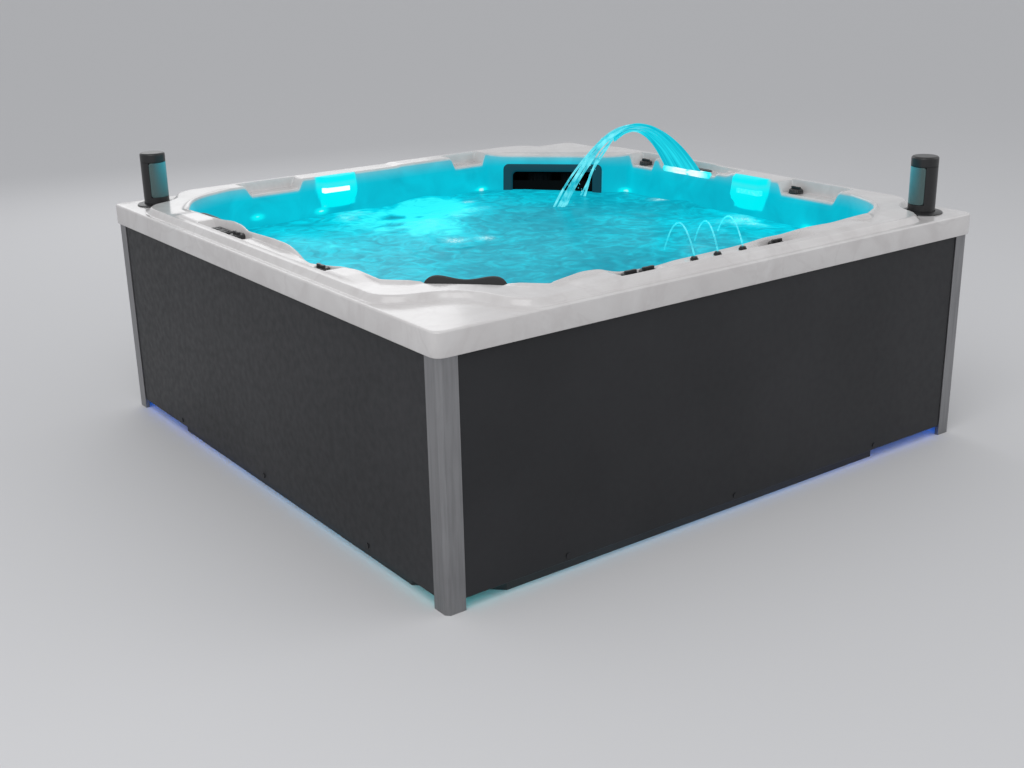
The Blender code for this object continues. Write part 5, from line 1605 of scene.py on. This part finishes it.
@dataclass
class FountainSheet:
    """The sheet of water thrown by the fountain, which narrows as it rises and falls in strands.

    across and onward count its points. mouth is where its first stream leaves and how far along the side the
    last one does, landing where the first one lands and how far from there the last one does, and peaks the
    first one's height and how much lower the last one peaks. Each thread is a strand's share of the way
    across, where on its way it starts, and its radius in mm. drift is how far the two separate strands land
    beside their streams, swing_way the direction in which strands swing, and loose the number of drops.
    """

    across: int = 40
    onward: int = 110
    thickness: float = 0.005
    mouth: tuple[Place, float] = ((1.014, 0.095, 0.842), 0.225)
    landing: tuple[Place, Place] = ((0.508, 0.461, 0.690), (0.147, -0.035, 0.0))
    peaks: Pair = (1.046, 0.052)
    threads: tuple[Place, ...] = (
        (0.00, 0.46, 5.0), (0.14, 0.44, 7.0), (0.24, 0.46, 7.5), (0.36, 0.50, 6.0), (0.90, 0.34, 4.0),
        (0.98, 0.30, 5.5),
    )
    drift: Place = (0.15, 0.19, 0.0)
    swing_way: Place = (0.45, 0.89, 0.0)
    loose: int = 44

    def arc(self, share: float) -> Arc:
        """The stream a share of the way across the mouth.

        Args:
            share: The share.

        Returns:
            The stream.
        """
        mouth = np.array(self.mouth[0]) + np.array([0.0, self.mouth[1] * share, 0.0])
        landing = np.array(self.landing[0]) + np.array(self.landing[1]) * share
        return Arc(mouth, landing, self.peaks[0] - self.peaks[1] * share)

    def sheet(self) -> Skin:
        """The sheet, a closed skin between an upper and a lower face, ragged where it tears into strands.

        Each row across it is a share of the streams' way; it thins along that way and ripples as it goes.

        Returns:
            The closed sheet.
        """
        shares = np.linspace(0, 1, self.across)
        torn = 0.62 + 0.10 * ripple(shares * 0.9, shares * 0.0, 0.16, 21)
        torn = torn + 0.05 * ripple(shares, shares * 0, 0.05, 22)
        steps = np.linspace(0, 1, self.onward)
        paths = np.stack([self.arc(s).path(steps * t) for s, t in zip(shares, torn)], 1)
        steady = steps[:, None] * np.ones(self.across)
        wobble = 0.004 * ripple(shares * np.ones((self.onward, 1)) * 1.2, steady * 0.9, 0.12, 23) * steady
        thin = self.thickness * (1 - 0.75 * steady) * (0.6 + 0.4 * np.cos((shares - 0.5) * 2.6)) * 0.5
        lift = np.stack([np.zeros_like(thin), np.zeros_like(thin), wobble + thin], -1)
        under = np.stack([np.zeros_like(thin), np.zeros_like(thin), wobble - thin], -1)
        rings = np.concatenate([paths + lift, (paths + under)[:, ::-1]], axis=1)
        skin = Skin.lofted(rings)
        across = np.concatenate([shares, shares[::-1]]) + 0 * rings[..., 0]
        onward = np.concatenate([steady, steady], axis=1)
        skin.values = {
            "across": np.concatenate([across.ravel(), [0.5, 0.5]]),
            "onward": np.concatenate([onward.ravel(), [0.0, 1.0]]),
        }
        return skin

    def strands(self) -> list[Skin]:
        """Strands from the torn edge to the bath: four close together and two apart.

        Each follows a stream, swings across it as a sine that grows, and has lumps along it.

        Returns:
            The closed strands.
        """
        skins = []
        for number, (share, start, size) in enumerate(self.threads):
            steps = np.linspace(start, 1.0, 90)
            drift = np.array(self.drift) * (share > 0.8) * ((steps - start) / (1 - start))[:, None]
            swing = 0.014 * np.sin(steps * (15 + 2 * number) + 2.2 * number) * (steps - start)
            path = self.arc(share).path(steps) + drift + np.array(self.swing_way) * swing[:, None] * 2
            lumps = 1 + 0.16 * ripple(steps * 2.0, steps * 0 + number, 0.09, 31 + number)
            taper = smooth((steps - start) / 0.12) * 0.75 + 0.25
            skins.append(Skin.tube(path, 0.001 * size * lumps * taper, 12))
        return skins

    def drops(self) -> list[Skin]:
        """Loose drops round the strands.

        Returns:
            The drops.
        """
        chance = np.random.default_rng(7)
        turns = np.linspace(0, math.pi, 7)
        skins = []
        for _ in range(self.loose):
            share, step = chance.uniform(0, 1), chance.uniform(0.55, 0.97)
            centre = self.arc(share).path(np.array([step]))[0] + chance.normal(0, 0.010, 3)
            size = chance.uniform(0.0009, 0.0022)
            profile = np.stack([np.sin(turns[1:-1]) * size, -np.cos(turns[1:-1]) * size * 1.5], -1)
            skins.append(Skin.turned(profile, 8).moved(Matrix.Translation(centre)))
        return skins

    def make(self, looks: Finishes) -> list[Piece]:
        """Build the sheet, its strands and its drops.

        Args:
            looks: The finishes.

        Returns:
            The pieces.
        """
        pieces = []
        strands = Skin.joined(self.strands() + self.drops())
        for name, skin, look in (
            ("fountain_sheet", self.sheet(), "falling_sheet"),
            ("fountain_strands", strands, "clear_stream"),
        ):
            piece = skin.as_object(name, looks[look], 80.0)
            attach(piece, TUB)
            pieces.append(piece)
        return pieces


@dataclass
class DeckStreams:
    """Three thin arcs from the small jets on the front deck."""

    mouths: tuple[Place, ...] = ((-0.140, -1.060, 0.866), (-0.040, -1.060, 0.866), (0.070, -1.060, 0.866))
    landings: tuple[Place, ...] = ((0.330, -0.420, 0.690), (0.516, -0.387, 0.690), (0.703, -0.321, 0.690))
    peaks: Row = (0.902, 0.889, 0.882)

    def make(self, looks: Finishes) -> list[Piece]:
        """Build the three arcs, thickest at their mouths and lumpy where they fall.

        Args:
            looks: The finishes.

        Returns:
            The pieces.
        """
        skins = []
        steps = np.linspace(0, 1, 120)
        for number, (mouth, landing, peak) in enumerate(zip(self.mouths, self.landings, self.peaks)):
            path = Arc(np.array(mouth), np.array(landing), peak).path(steps)
            lumps = 1 + 0.35 * steps * ripple(steps * 3, steps * 0 + number, 0.06, 41 + number)
            skins.append(Skin.tube(path, (0.0028 - 0.0006 * steps) * lumps, 10))
        streams = Skin.joined(skins).as_object("deck_streams", looks["fine_stream"], 80.0)
        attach(streams, TUB)
        return [streams]


# Fittings on the deck


@dataclass
class FountainHood:
    """The low hood on the right deck with the light lens along its inner face.

    back is the distance of its back from the middle of the tub, floor the height of the deck under it.
    """

    centre: float = 0.185
    length: float = 0.240
    back: float = 1.062
    depth: float = 0.032
    height: float = 0.011
    floor: float = 0.8350

    def body(self) -> Skin:
        """The hood: a rounded section, swept along Y, that closes to a rounded end at both sides.

        Returns:
            The closed hood.
        """
        along = np.linspace(-1, 1, 60)
        girth = (1 - np.abs(along) ** 10) ** 0.5
        turns = np.linspace(0, 2 * math.pi, 40, endpoint=False)
        power = 0.55
        out = np.sign(np.cos(turns)) * np.abs(np.cos(turns)) ** power
        upward = np.sign(np.sin(turns)) * np.abs(np.sin(turns)) ** power
        size = np.clip(girth, 0.05, 1.0)[:, None]
        x = self.back - self.depth / 2 + out * self.depth / 2 * (0.6 + 0.4 * size)
        z = self.floor + self.height / 2 + upward * self.height / 2 * size
        y = self.centre + along[:, None] * self.length / 2 + 0 * out
        return Skin.lofted(np.stack([x, y, np.broadcast_to(z, x.shape)], -1))

    def lens(self) -> Skin:
        """The lens: a long rounded bar in the hood's inner face.

        Returns:
            The closed lens.
        """
        outline = rounded_outline(0.145, 0.0135, 0.0120, 10, 60)
        origin = Vector((self.back - self.depth - 0.003, self.centre, self.floor - 0.0070))
        face = pad_skin(outline, 0.014, 0.007).moved(frame_at(origin, Vector((0, 1, 0)), Vector((-1, 0, 0))))
        spots = sum(np.exp(-(((face.points[:, 1] - place) / 0.043) ** 8)) for place in (0.123, 0.221))
        face.values = {"beam": np.clip(spots, 0, 1)}
        return face

    def make(self, looks: Finishes) -> list[Piece]:
        """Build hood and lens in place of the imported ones.

        Args:
            looks: The finishes.

        Returns:
            The pieces.
        """
        hood = self.body().as_object("fountain_hood", looks["black_moulded_plastic"])
        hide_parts("fountain_body")
        lens = self.lens().as_object("fountain_light", looks["spot_lens"])
        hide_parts("fountain_lens")
        for piece in (hood, lens):
            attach(piece, TUB)
        return [hood, lens]


@dataclass
class DeckJets:
    """Three small nozzles on the front deck.

    bore is the radius of each mouth.
    """

    radius: float = 0.013
    height: float = 0.011
    bore: float = 0.0025

    def profile(self) -> Array:
        """Radii and heights from the middle of the mouth over the nozzle to its foot.

        Returns:
            The radii and heights.
        """
        turns = np.linspace(0, math.pi / 2, 7)
        out, down = np.sin(turns), 1 - np.cos(turns)
        crown = np.stack([self.radius * 0.55 + 0.003 * out, self.height - 0.003 * down], -1)
        foot = np.stack([self.radius - 0.002 * (1 - out), 0.0045 - 0.002 * down[::-1]], -1)
        bore, floor, ease = self.bore, self.height / 2, 0.0008
        mouth = [[bore * 0.5, floor], [bore, floor], [bore, self.height - ease], [bore + ease, self.height]]
        return np.concatenate([mouth, crown, foot, [[self.radius, 0.0], [self.radius * 0.5, 0.0]]])

    def make(self, looks: Finishes) -> list[Piece]:
        """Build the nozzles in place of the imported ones.

        Args:
            looks: The finishes.

        Returns:
            The pieces.
        """
        made = []
        for name in ("left", "middle", "right"):
            low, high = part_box(f"deck_jet_{name}")
            place = Matrix.Translation(((low[0] + high[0]) / 2, (low[1] + high[1]) / 2, low[2]))
            skin = Skin.turned(self.profile(), 40).moved(place)
            jet = skin.as_object(f"deck_nozzle_{name}", looks["black_moulded_plastic"])
            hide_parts(f"deck_jet_{name}")
            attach(jet, TUB)
            made.append(jet)
        return made


@dataclass
class Knobs:
    """Seven rotary knobs with a fluted skirt and a raised grip."""

    radius: float = 0.029
    height: float = 0.026
    flutes: int = 18
    names: tuple[str, ...] = (
        "front_outer", "front_inner", "front_right", "right", "back_right", "left_back", "left_front",
    )

    def skirt(self) -> Skin:
        """The skirt: a turned profile whose radius swings in at each flute.

        Returns:
            The closed skirt.
        """
        turns = np.linspace(0, 2 * math.pi, 144, endpoint=False)
        profile = np.array([
            [0.35, 0.0], [0.96, 0.0], [1.0, 0.0012], [1.0, 0.0050], [0.965, 0.0058], [0.955, 0.0070],
            [0.93, 0.0120], [0.89, 0.0150], [0.83, 0.0165], [0.74, 0.0172], [0.55, 0.0166], [0.30, 0.0160],
        ])
        cut = np.array([0, 0, 0, 0, 0.2, 0.9, 1.0, 0.9, 0.5, 0.1, 0, 0])[:, None]
        groove = 0.045 * np.clip(np.cos(turns * self.flutes), 0, 1) ** 2
        radii = profile[:, :1] * self.radius * (1 - groove * cut)
        heights = profile[:, 1:2] + 0 * turns
        return Skin.lofted(np.stack([radii * np.cos(turns), radii * np.sin(turns), heights], -1))

    def grip(self) -> Skin:
        """The grip: a bar across the top, drawn in at its waist and rounded over its edge.

        Returns:
            The closed grip.
        """
        outline = rounded_outline(self.radius * 0.80, 0.0052, 0.0050, 10, 14)
        waist = 1 - 0.28 * np.exp(-((outline[:, 0] / 0.011) ** 2))
        outline = np.stack([outline[:, 0], outline[:, 1] * waist], -1)
        return pad_skin(outline, self.height - 0.014, 0.0022).moved(Matrix.Translation((0, 0, 0.014)))

    def make(self, looks: Finishes) -> list[Piece]:
        """Build each knob on its own turning body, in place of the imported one.

        Args:
            looks: The finishes.

        Returns:
            The pieces.
        """
        made = []
        for name in self.names:
            low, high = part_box(f"knob_{name}")
            place = Matrix.Translation(((low[0] + high[0]) / 2, (low[1] + high[1]) / 2, low[2]))
            upright = abs(low[0] + high[0]) > abs(low[1] + high[1])
            place = place @ side_frame(1 if upright else 0)
            knob = Skin.joined([self.skirt(), self.grip()]).moved(place)
            piece = knob.as_object(f"turn_knob_{name}", looks["black_moulded_plastic"], 40.0)
            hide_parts(f"knob_{name}")
            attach(piece, f"knob_{name}_body")
            made.append(piece)
        return made


@dataclass
class ControlPad:
    """The sealed keypad on the left deck, with four raised keys.

    keys are the places of the keys along it.
    """

    length: float = 0.120
    width: float = 0.050
    height: float = 0.012
    keys: Row = (-0.042, -0.020, 0.020, 0.042)
    key_rise: float = 0.0028

    def make(self, looks: Finishes) -> list[Piece]:
        """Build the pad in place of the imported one.

        Args:
            looks: The finishes.

        Returns:
            The pieces.
        """
        low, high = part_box("control_pad")
        centre = Vector(((low[0] + high[0]) / 2, (low[1] + high[1]) / 2, low[2]))
        place = Matrix.Translation(centre) @ side_frame(3)
        body = pad_skin(rounded_outline(self.length / 2, self.width / 2, 0.012), self.height - 0.002, 0.004)
        parts = [body.moved(place)]
        for x in self.keys:
            key = pad_skin(rounded_outline(0.008, 0.011, 0.0055, 6, 4), self.key_rise, self.key_rise / 2)
            parts.append(key.moved(place @ Matrix.Translation((x, 0, self.height - self.key_rise))))
        pad = Skin.joined(parts).as_object("key_pad", looks["black_moulded_plastic"])
        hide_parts("control_pad")
        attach(pad, TUB)
        return [pad]


@dataclass
class HeadRests:
    """Moulded foam head rests: a bone shaped one on the front corner and two plain ones.

    groove is the depth of the grooves, their place above and below the middle, and their width. Each of
    rests is a name, turn in degrees, length, waist and the slope of the wall behind it.
    """

    thickness: float = 0.040
    height: float = 0.085
    groove: Place = (0.0022, 0.022, 0.003)
    rests: tuple[tuple[str, float, float, float, float], ...] = (
        ("corner", -45.0, 0.250, 0.55, 0.1672),
        ("front", 0.0, 0.260, 1.0, 0.1421),
        ("left", -90.0, 0.260, 1.0, 0.1421),
    )

    def cushion(self, length: float, waist_share: float) -> Skin:
        """A cushion along X, hanging down Z with its flat back at Y 0.

        Its section is a rounded oblong that shrinks toward the waist and closes at both ends, and a shallow
        groove runs along its face a quarter of the way from its top and its foot.

        Args:
            length: Its length.
            waist_share: Size of the section at the waist against the ends.

        Returns:
            The closed cushion.
        """
        along = np.sin(np.linspace(-math.pi / 2, math.pi / 2, 97))[1:-1]
        turns = np.linspace(0, 2 * math.pi, 64, endpoint=False)
        girth = np.sqrt(np.clip(1 - np.abs(along) ** 4, 0, 1))
        waist = 1 - (1 - waist_share) * np.cos(along * math.pi / 2) ** 2
        size = np.clip(girth * waist, 0.03, 1.0)[:, None]
        across = np.sign(np.cos(turns)) * np.abs(np.cos(turns)) ** 0.75 * self.thickness / 2
        upward = np.sign(np.sin(turns)) * np.abs(np.sin(turns)) ** 0.75 * self.height / 2
        depth, level, width = self.groove
        groove = depth * sum(np.exp(-(((upward - place) / width) ** 2)) for place in (level, -level))
        across = across - groove * (across > 0)
        back = 0.22 * self.thickness * size
        y = np.maximum(self.thickness / 2 + across * size - self.thickness * (1 - size) / 2, back) - back
        x = along[:, None] * length / 2 + 0 * turns
        z = upward * size
        return Skin.lofted(np.stack([x, y, z], -1))

    def make(self, looks: Finishes) -> list[Piece]:
        """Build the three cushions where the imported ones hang.

        Args:
            looks: The finishes.

        Returns:
            The pieces.
        """
        made = []
        for name, turn, length, waist, slope in self.rests:
            low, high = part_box(f"head_rest_{name}")
            frame = Matrix.Rotation(math.radians(turn), 4, "Z")
            tilt = Matrix.Rotation(-math.atan(slope), 4, "X")
            skin = self.cushion(length, waist).moved(frame @ tilt)
            middle = (skin.points.min(axis=0) + skin.points.max(axis=0)) / 2
            skin.points = skin.points + (np.array(low) + np.array(high)) / 2 - middle
            rest = skin.as_object(f"soft_rest_{name}", looks["black_head_rest_foam"], 80.0)
            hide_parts(f"head_rest_{name}")
            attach(rest, TUB)
            made.append(rest)
        return made


@dataclass
class Speaker:
    """One lift-up speaker: flanged sleeve, sliding tower and its mesh window facing the tub.

    deck is the height of its platform, rise that of the tower over it and hold how far the raised tower
    reaches into its sleeve. window is the recess's foot and top and half its angle in degrees, flange the
    radius and height of the sleeve's flange.
    """

    side: str
    x: float
    y: float
    radius: float = 0.0475
    deck: float = 0.836
    rise: float = 0.202
    hold: float = 0.032
    cap_ease: float = 0.008
    window: Place = (0.0325, 0.1662, 89.8)
    flange: Pair = (0.075, 0.008)
    sleeve_depth: float = 0.205

    def place(self) -> Matrix:
        """Frame of the speaker, whose plus Y looks to the middle of the tub."""
        inward = math.atan2(-self.y, -self.x) - math.pi / 2
        return Matrix.Translation((self.x, self.y, self.deck)) @ Matrix.Rotation(inward, 4, "Z")

    def tower(self) -> Skin:
        """The tower: round, with a domed cap over a shadow groove, set back behind the mesh window.

        Returns:
            The closed tower.
        """
        turns = np.linspace(0, 2 * math.pi, 128, endpoint=False)
        dome = np.linspace(0, math.pi / 2, 8)
        radius, ease = self.radius, self.cap_ease
        cap = [(radius - ease * (1 - math.sin(a)), self.rise - ease * (1 - math.cos(a))) for a in dome]
        top = [(0.018, self.rise), (radius * 0.75, self.rise), *cap, (radius, 0.170), (radius, 0.1685)]
        groove = [(radius - 0.0018, 0.1680), (radius - 0.0018, 0.1670), (radius, 0.1665)]
        body = [(radius, height) for height in (0.1660, 0.0330, 0.0320, 0.0, -self.hold)]
        profile = np.array([*top, *groove, *body, (0.02, -self.hold)])
        radii, levels = profile[:, :1], profile[:, 1:2]
        facing = np.abs((turns - math.pi / 2 + math.pi) % (2 * math.pi) - math.pi)
        window_foot, window_top, window_reach = self.window
        window = (facing < math.radians(window_reach)) & (levels < window_top) & (levels > window_foot)
        radii = np.where(window, self.radius - 0.0044, radii + 0 * turns)
        return Skin.lofted(np.stack([radii * np.cos(turns), radii * np.sin(turns), levels + 0 * turns], -1))

    def mesh(self) -> Skin:
        """The mesh window: a curved panel with rounded corners, carrying its arc and rise for the holes.

        Rings of a flat rounded outline, shrunk toward its middle, are bent round the tower.

        Returns:
            The closed panel.
        """
        outline = rounded_outline(self.radius * math.radians(88.5), 0.0660, 0.010, 8, 24)
        rings = []
        back = [(share, -0.004) for share in (0.03, 0.35, 0.7, 1.0)]
        face = [(float(share), -0.0003) for share in np.linspace(0.99, 0.03, 14)]
        for share, depth in (*back, (1.0, -0.0008), *face):
            angle = outline[:, 0] * share / self.radius + math.pi / 2
            radius = self.radius + depth
            height = 0.0990 + outline[:, 1] * share
            rings.append(np.stack([radius * np.cos(angle), radius * np.sin(angle), height], -1))
        skin = Skin.lofted(np.array(rings))
        around = np.arctan2(skin.points[:, 1], skin.points[:, 0]) - math.pi / 2
        skin.values = {"arc": around * self.radius, "rise": skin.points[:, 2]}
        return skin

    def sleeve(self) -> Skin:
        """The sleeve: an open tube with a flange that slopes to the platform.

        Returns:
            The closed sleeve.
        """
        bore, outer, wall = self.radius + 0.001, self.radius + 0.006, 0.005
        flange, height = self.flange
        turns = np.linspace(0, math.pi / 2, 7)
        rim = [(flange - 0.004 * (1 - math.sin(a)), 0.0048 - 0.004 * (1 - math.cos(a))) for a in turns]
        floor, foot = -self.sleeve_depth, -self.sleeve_depth - wall
        profile = np.array([
            (0.02, floor), (bore, floor), (bore, height - 0.001), (bore + 0.001, height),
            (flange - 0.014, height), *rim, (flange, 0.0003), (outer, 0.0003), (outer, foot), (0.02, foot),
        ])
        return Skin.turned(profile, 96)

    def make(self, looks: Finishes) -> list[Piece]:
        """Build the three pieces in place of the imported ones.

        Args:
            looks: The finishes.

        Returns:
            The pieces.
        """
        body = f"speaker_{self.side}"
        made = []
        for name, skin, slot, rides in (
            ("tower", self.tower(), "black_moulded_plastic", body),
            ("mesh", self.mesh(), "dark_speaker_mesh", body),
            ("sleeve", self.sleeve(), "black_moulded_plastic", TUB),
        ):
            piece = skin.moved(self.place()).as_object(f"{self.side}_speaker_{name}", looks[slot], 35.0)
            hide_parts(f"speaker_{name}_{self.side}")
            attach(piece, rides)
            made.append(piece)
        return made


@dataclass
class SkimmerCover:
    """The skimmer's front: a rounded frame with a bevelled window.

    foot and top are in the skimmer's own frame, and window is its half width, foot and top. back is how
    far its back stands off the wall, ease the radius of its outer edge and bevel that of its window's.
    """

    half_width: float = 0.225
    foot: float = 0.555
    top: float = 0.813
    thickness: float = 0.016
    window: Place = (0.183, 0.600, 0.779)
    back: float = 0.0023
    corner: float = 0.024
    window_corner: float = 0.020
    ease: float = 0.005
    bevel: float = 0.008

    def place(self) -> Matrix:
        """The skimmer's frame: X along the chamfer, Y into the tub, Z up the leaning wall.

        Returns:
            The frame.
        """
        origin = Vector((0.68479, 0.71308, 0.00954))
        x_axis, z_axis = Vector((-0.70711, 0.70711, 0.0)), Vector((0.10993, 0.10993, 0.98784))
        return frame_at(origin, x_axis, z_axis)

    def ring(self, half_x: float, half_z: float, middle: float, radius: float, y: float) -> Array:
        """A rounded oblong upright in the frame."""
        outline = rounded_outline(half_x, half_z, radius, 10, 12)
        return np.stack([outline[:, 0], np.full(len(outline), y), outline[:, 1] + middle], -1)

    def skin(self) -> Skin:
        """The frame: a flat section with rounded edges carried round, from its outer edge to its window.

        Returns:
            The closed frame.
        """
        half_z, middle = (self.top - self.foot) / 2, (self.top + self.foot) / 2
        win_x, win_foot, win_top = self.window
        win_z, win_middle = (win_top - win_foot) / 2, (win_top + win_foot) / 2
        front = self.back + self.thickness
        half_x, corner, win_corner = self.half_width, self.corner, self.window_corner
        rings = [self.ring(win_x, win_z, win_middle, win_corner, self.back)]
        rings.append(self.ring(half_x, half_z, middle, corner, self.back))
        for angle in np.linspace(0, math.pi / 2, 6):
            drawn, y = self.ease * (1 - math.cos(angle)), front - self.ease * (1 - math.sin(angle))
            rings.append(self.ring(half_x - drawn, half_z - drawn, middle, corner - drawn, y))
        for angle in np.linspace(0, math.pi / 2, 6):
            drawn, y = self.bevel * (1 - math.sin(angle)), front - self.bevel * (1 - math.cos(angle))
            rings.append(self.ring(win_x + drawn, win_z + drawn, win_middle, win_corner + drawn, y))
        return Skin.looped(np.array(rings))

    def make(self, looks: Finishes) -> list[Piece]:
        """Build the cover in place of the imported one.

        Args:
            looks: The finishes.

        Returns:
            The pieces.
        """
        cover = self.skin().moved(self.place()).as_object("skimmer_frame", looks["lit_plastic"], 40.0)
        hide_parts("skimmer_cover")
        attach(cover, "skimmer_front")
        return [cover]


# Studio


@dataclass
class Studio:
    """Pale floor, soft lamps and the camera at the photograph's angle.

    yaw, pitch and roll turn the camera and are in radians; lens is in mm; reach is half the floor's side.
    """

    camera_place: Place = (-2.8911, -3.8667, 1.8050)
    yaw: float = -0.6309
    pitch: float = -0.3324
    roll: float = -0.0203
    lens: float = 45.76
    reach: float = 60.0

    def floor(self) -> None:
        """A wide pale floor."""
        mesh = bpy.data.meshes.new("studio_floor")
        corners = [(x * self.reach, y * self.reach, 0) for x, y in ((-1, -1), (1, -1), (1, 1), (-1, 1))]
        mesh.from_pydata(corners, [], [(0, 1, 2, 3)])
        tree = Tree("studio_floor")
        tree.set(Base_Color=(0.62, 0.62, 0.63), Roughness=0.7, Specular_IOR_Level=0.1)
        mesh.materials.append(tree.material)
        floor = bpy.data.objects.new("studio_floor", mesh)
        bpy.context.scene.collection.objects.link(floor)
        floor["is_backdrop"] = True

    def lamp(self, name: str, place: Place, aim: Place, size: float, power: float) -> None:
        """A square soft lamp aimed at a point.

        Args:
            name: Its name.
            place: Its place.
            aim: The point.
            size: Its side.
            power: Its power in watts.
        """
        light = bpy.data.lights.new(name, "AREA")
        light.size = size
        light.energy = power
        lamp = bpy.data.objects.new(name, light)
        turn = (Vector(aim) - Vector(place)).to_track_quat("-Z", "Y")
        lamp.matrix_world = Matrix.Translation(place) @ turn.to_matrix().to_4x4()
        bpy.context.scene.collection.objects.link(lamp)

    def camera(self) -> None:
        """The camera where the photograph was taken from."""
        flat = math.cos(self.pitch)
        ahead = Vector((-math.sin(self.yaw) * flat, math.cos(self.yaw) * flat, math.sin(self.pitch)))
        level = Vector((math.cos(self.yaw), math.sin(self.yaw), 0.0))
        upright = level.cross(ahead)
        right = level * math.cos(self.roll) + upright * math.sin(self.roll)
        top = right.cross(ahead)
        data = bpy.data.cameras.new("photo_camera")
        data.lens = self.lens
        data.sensor_width = 36.0
        data.clip_end = 200.0
        camera = bpy.data.objects.new("photo_camera", data)
        turn = Matrix((right, top, -ahead)).transposed().to_4x4()
        camera.matrix_world = Matrix.Translation(self.camera_place) @ turn
        bpy.context.scene.collection.objects.link(camera)
        bpy.context.scene.camera = camera

    def make(self) -> None:
        """Set up floor, lamps, world and camera."""
        self.floor()
        self.camera()
        self.lamp("key_lamp", (-3.5, -2.5, 4.5), (0, 0, 0.5), 4.0, 105.0)
        self.lamp("fill_lamp", (4.0, -3.5, 3.0), (0, 0, 0.4), 4.0, 35.0)
        self.lamp("back_lamp", (1.0, 5.0, 3.5), (0, 0, 0.6), 4.0, 50.0)
        world = bpy.data.worlds.new("studio_world")
        world.use_nodes = True
        world.node_tree.nodes["Background"].inputs["Color"].default_value = (0.80, 0.81, 0.83, 1.0)
        world.node_tree.nodes["Background"].inputs["Strength"].default_value = 0.80
        bpy.context.scene.world = world
        bpy.context.scene.view_settings.view_transform = "Standard"


def note_size(label: str, noted: dict[str, list]) -> None:
    """Keep the object's box under a name.

    Args:
        label: The name.
        noted: The boxes kept so far.
    """
    noted[label] = [[float(part) for part in corner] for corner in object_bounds()]


def main() -> None:
    """Build every part of the tub and report it."""
    logging.basicConfig(level=logging.INFO, format="%(message)s")
    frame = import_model()
    noted: dict[str, list] = {}
    note_size("frame", noted)
    looks = Finishes()
    looks.dress_frame(frame["nodes"])
    plan = ShellPlan()
    Studio().make()
    made: list[Piece] = []
    made += MouldedShell(plan).make(frame, looks)
    made += Bath(plan).make(looks)
    made += FountainHood().make(looks)
    made += FountainSheet().make(looks)
    made += DeckJets().make(looks)
    made += DeckStreams().make(looks)
    made += Knobs().make(looks)
    made += ControlPad().make(looks)
    made += HeadRests().make(looks)
    made += Speaker("right", 1.02, -1.02).make(looks)
    made += Speaker("left", -1.02, 1.02).make(looks)
    made += SkimmerCover().make(looks)
    for piece in made:
        LOG.info("%s: %d faces", piece.name, len(piece.data.polygons))
    note_size("finished", noted)


if __name__ == "__main__":
    main()
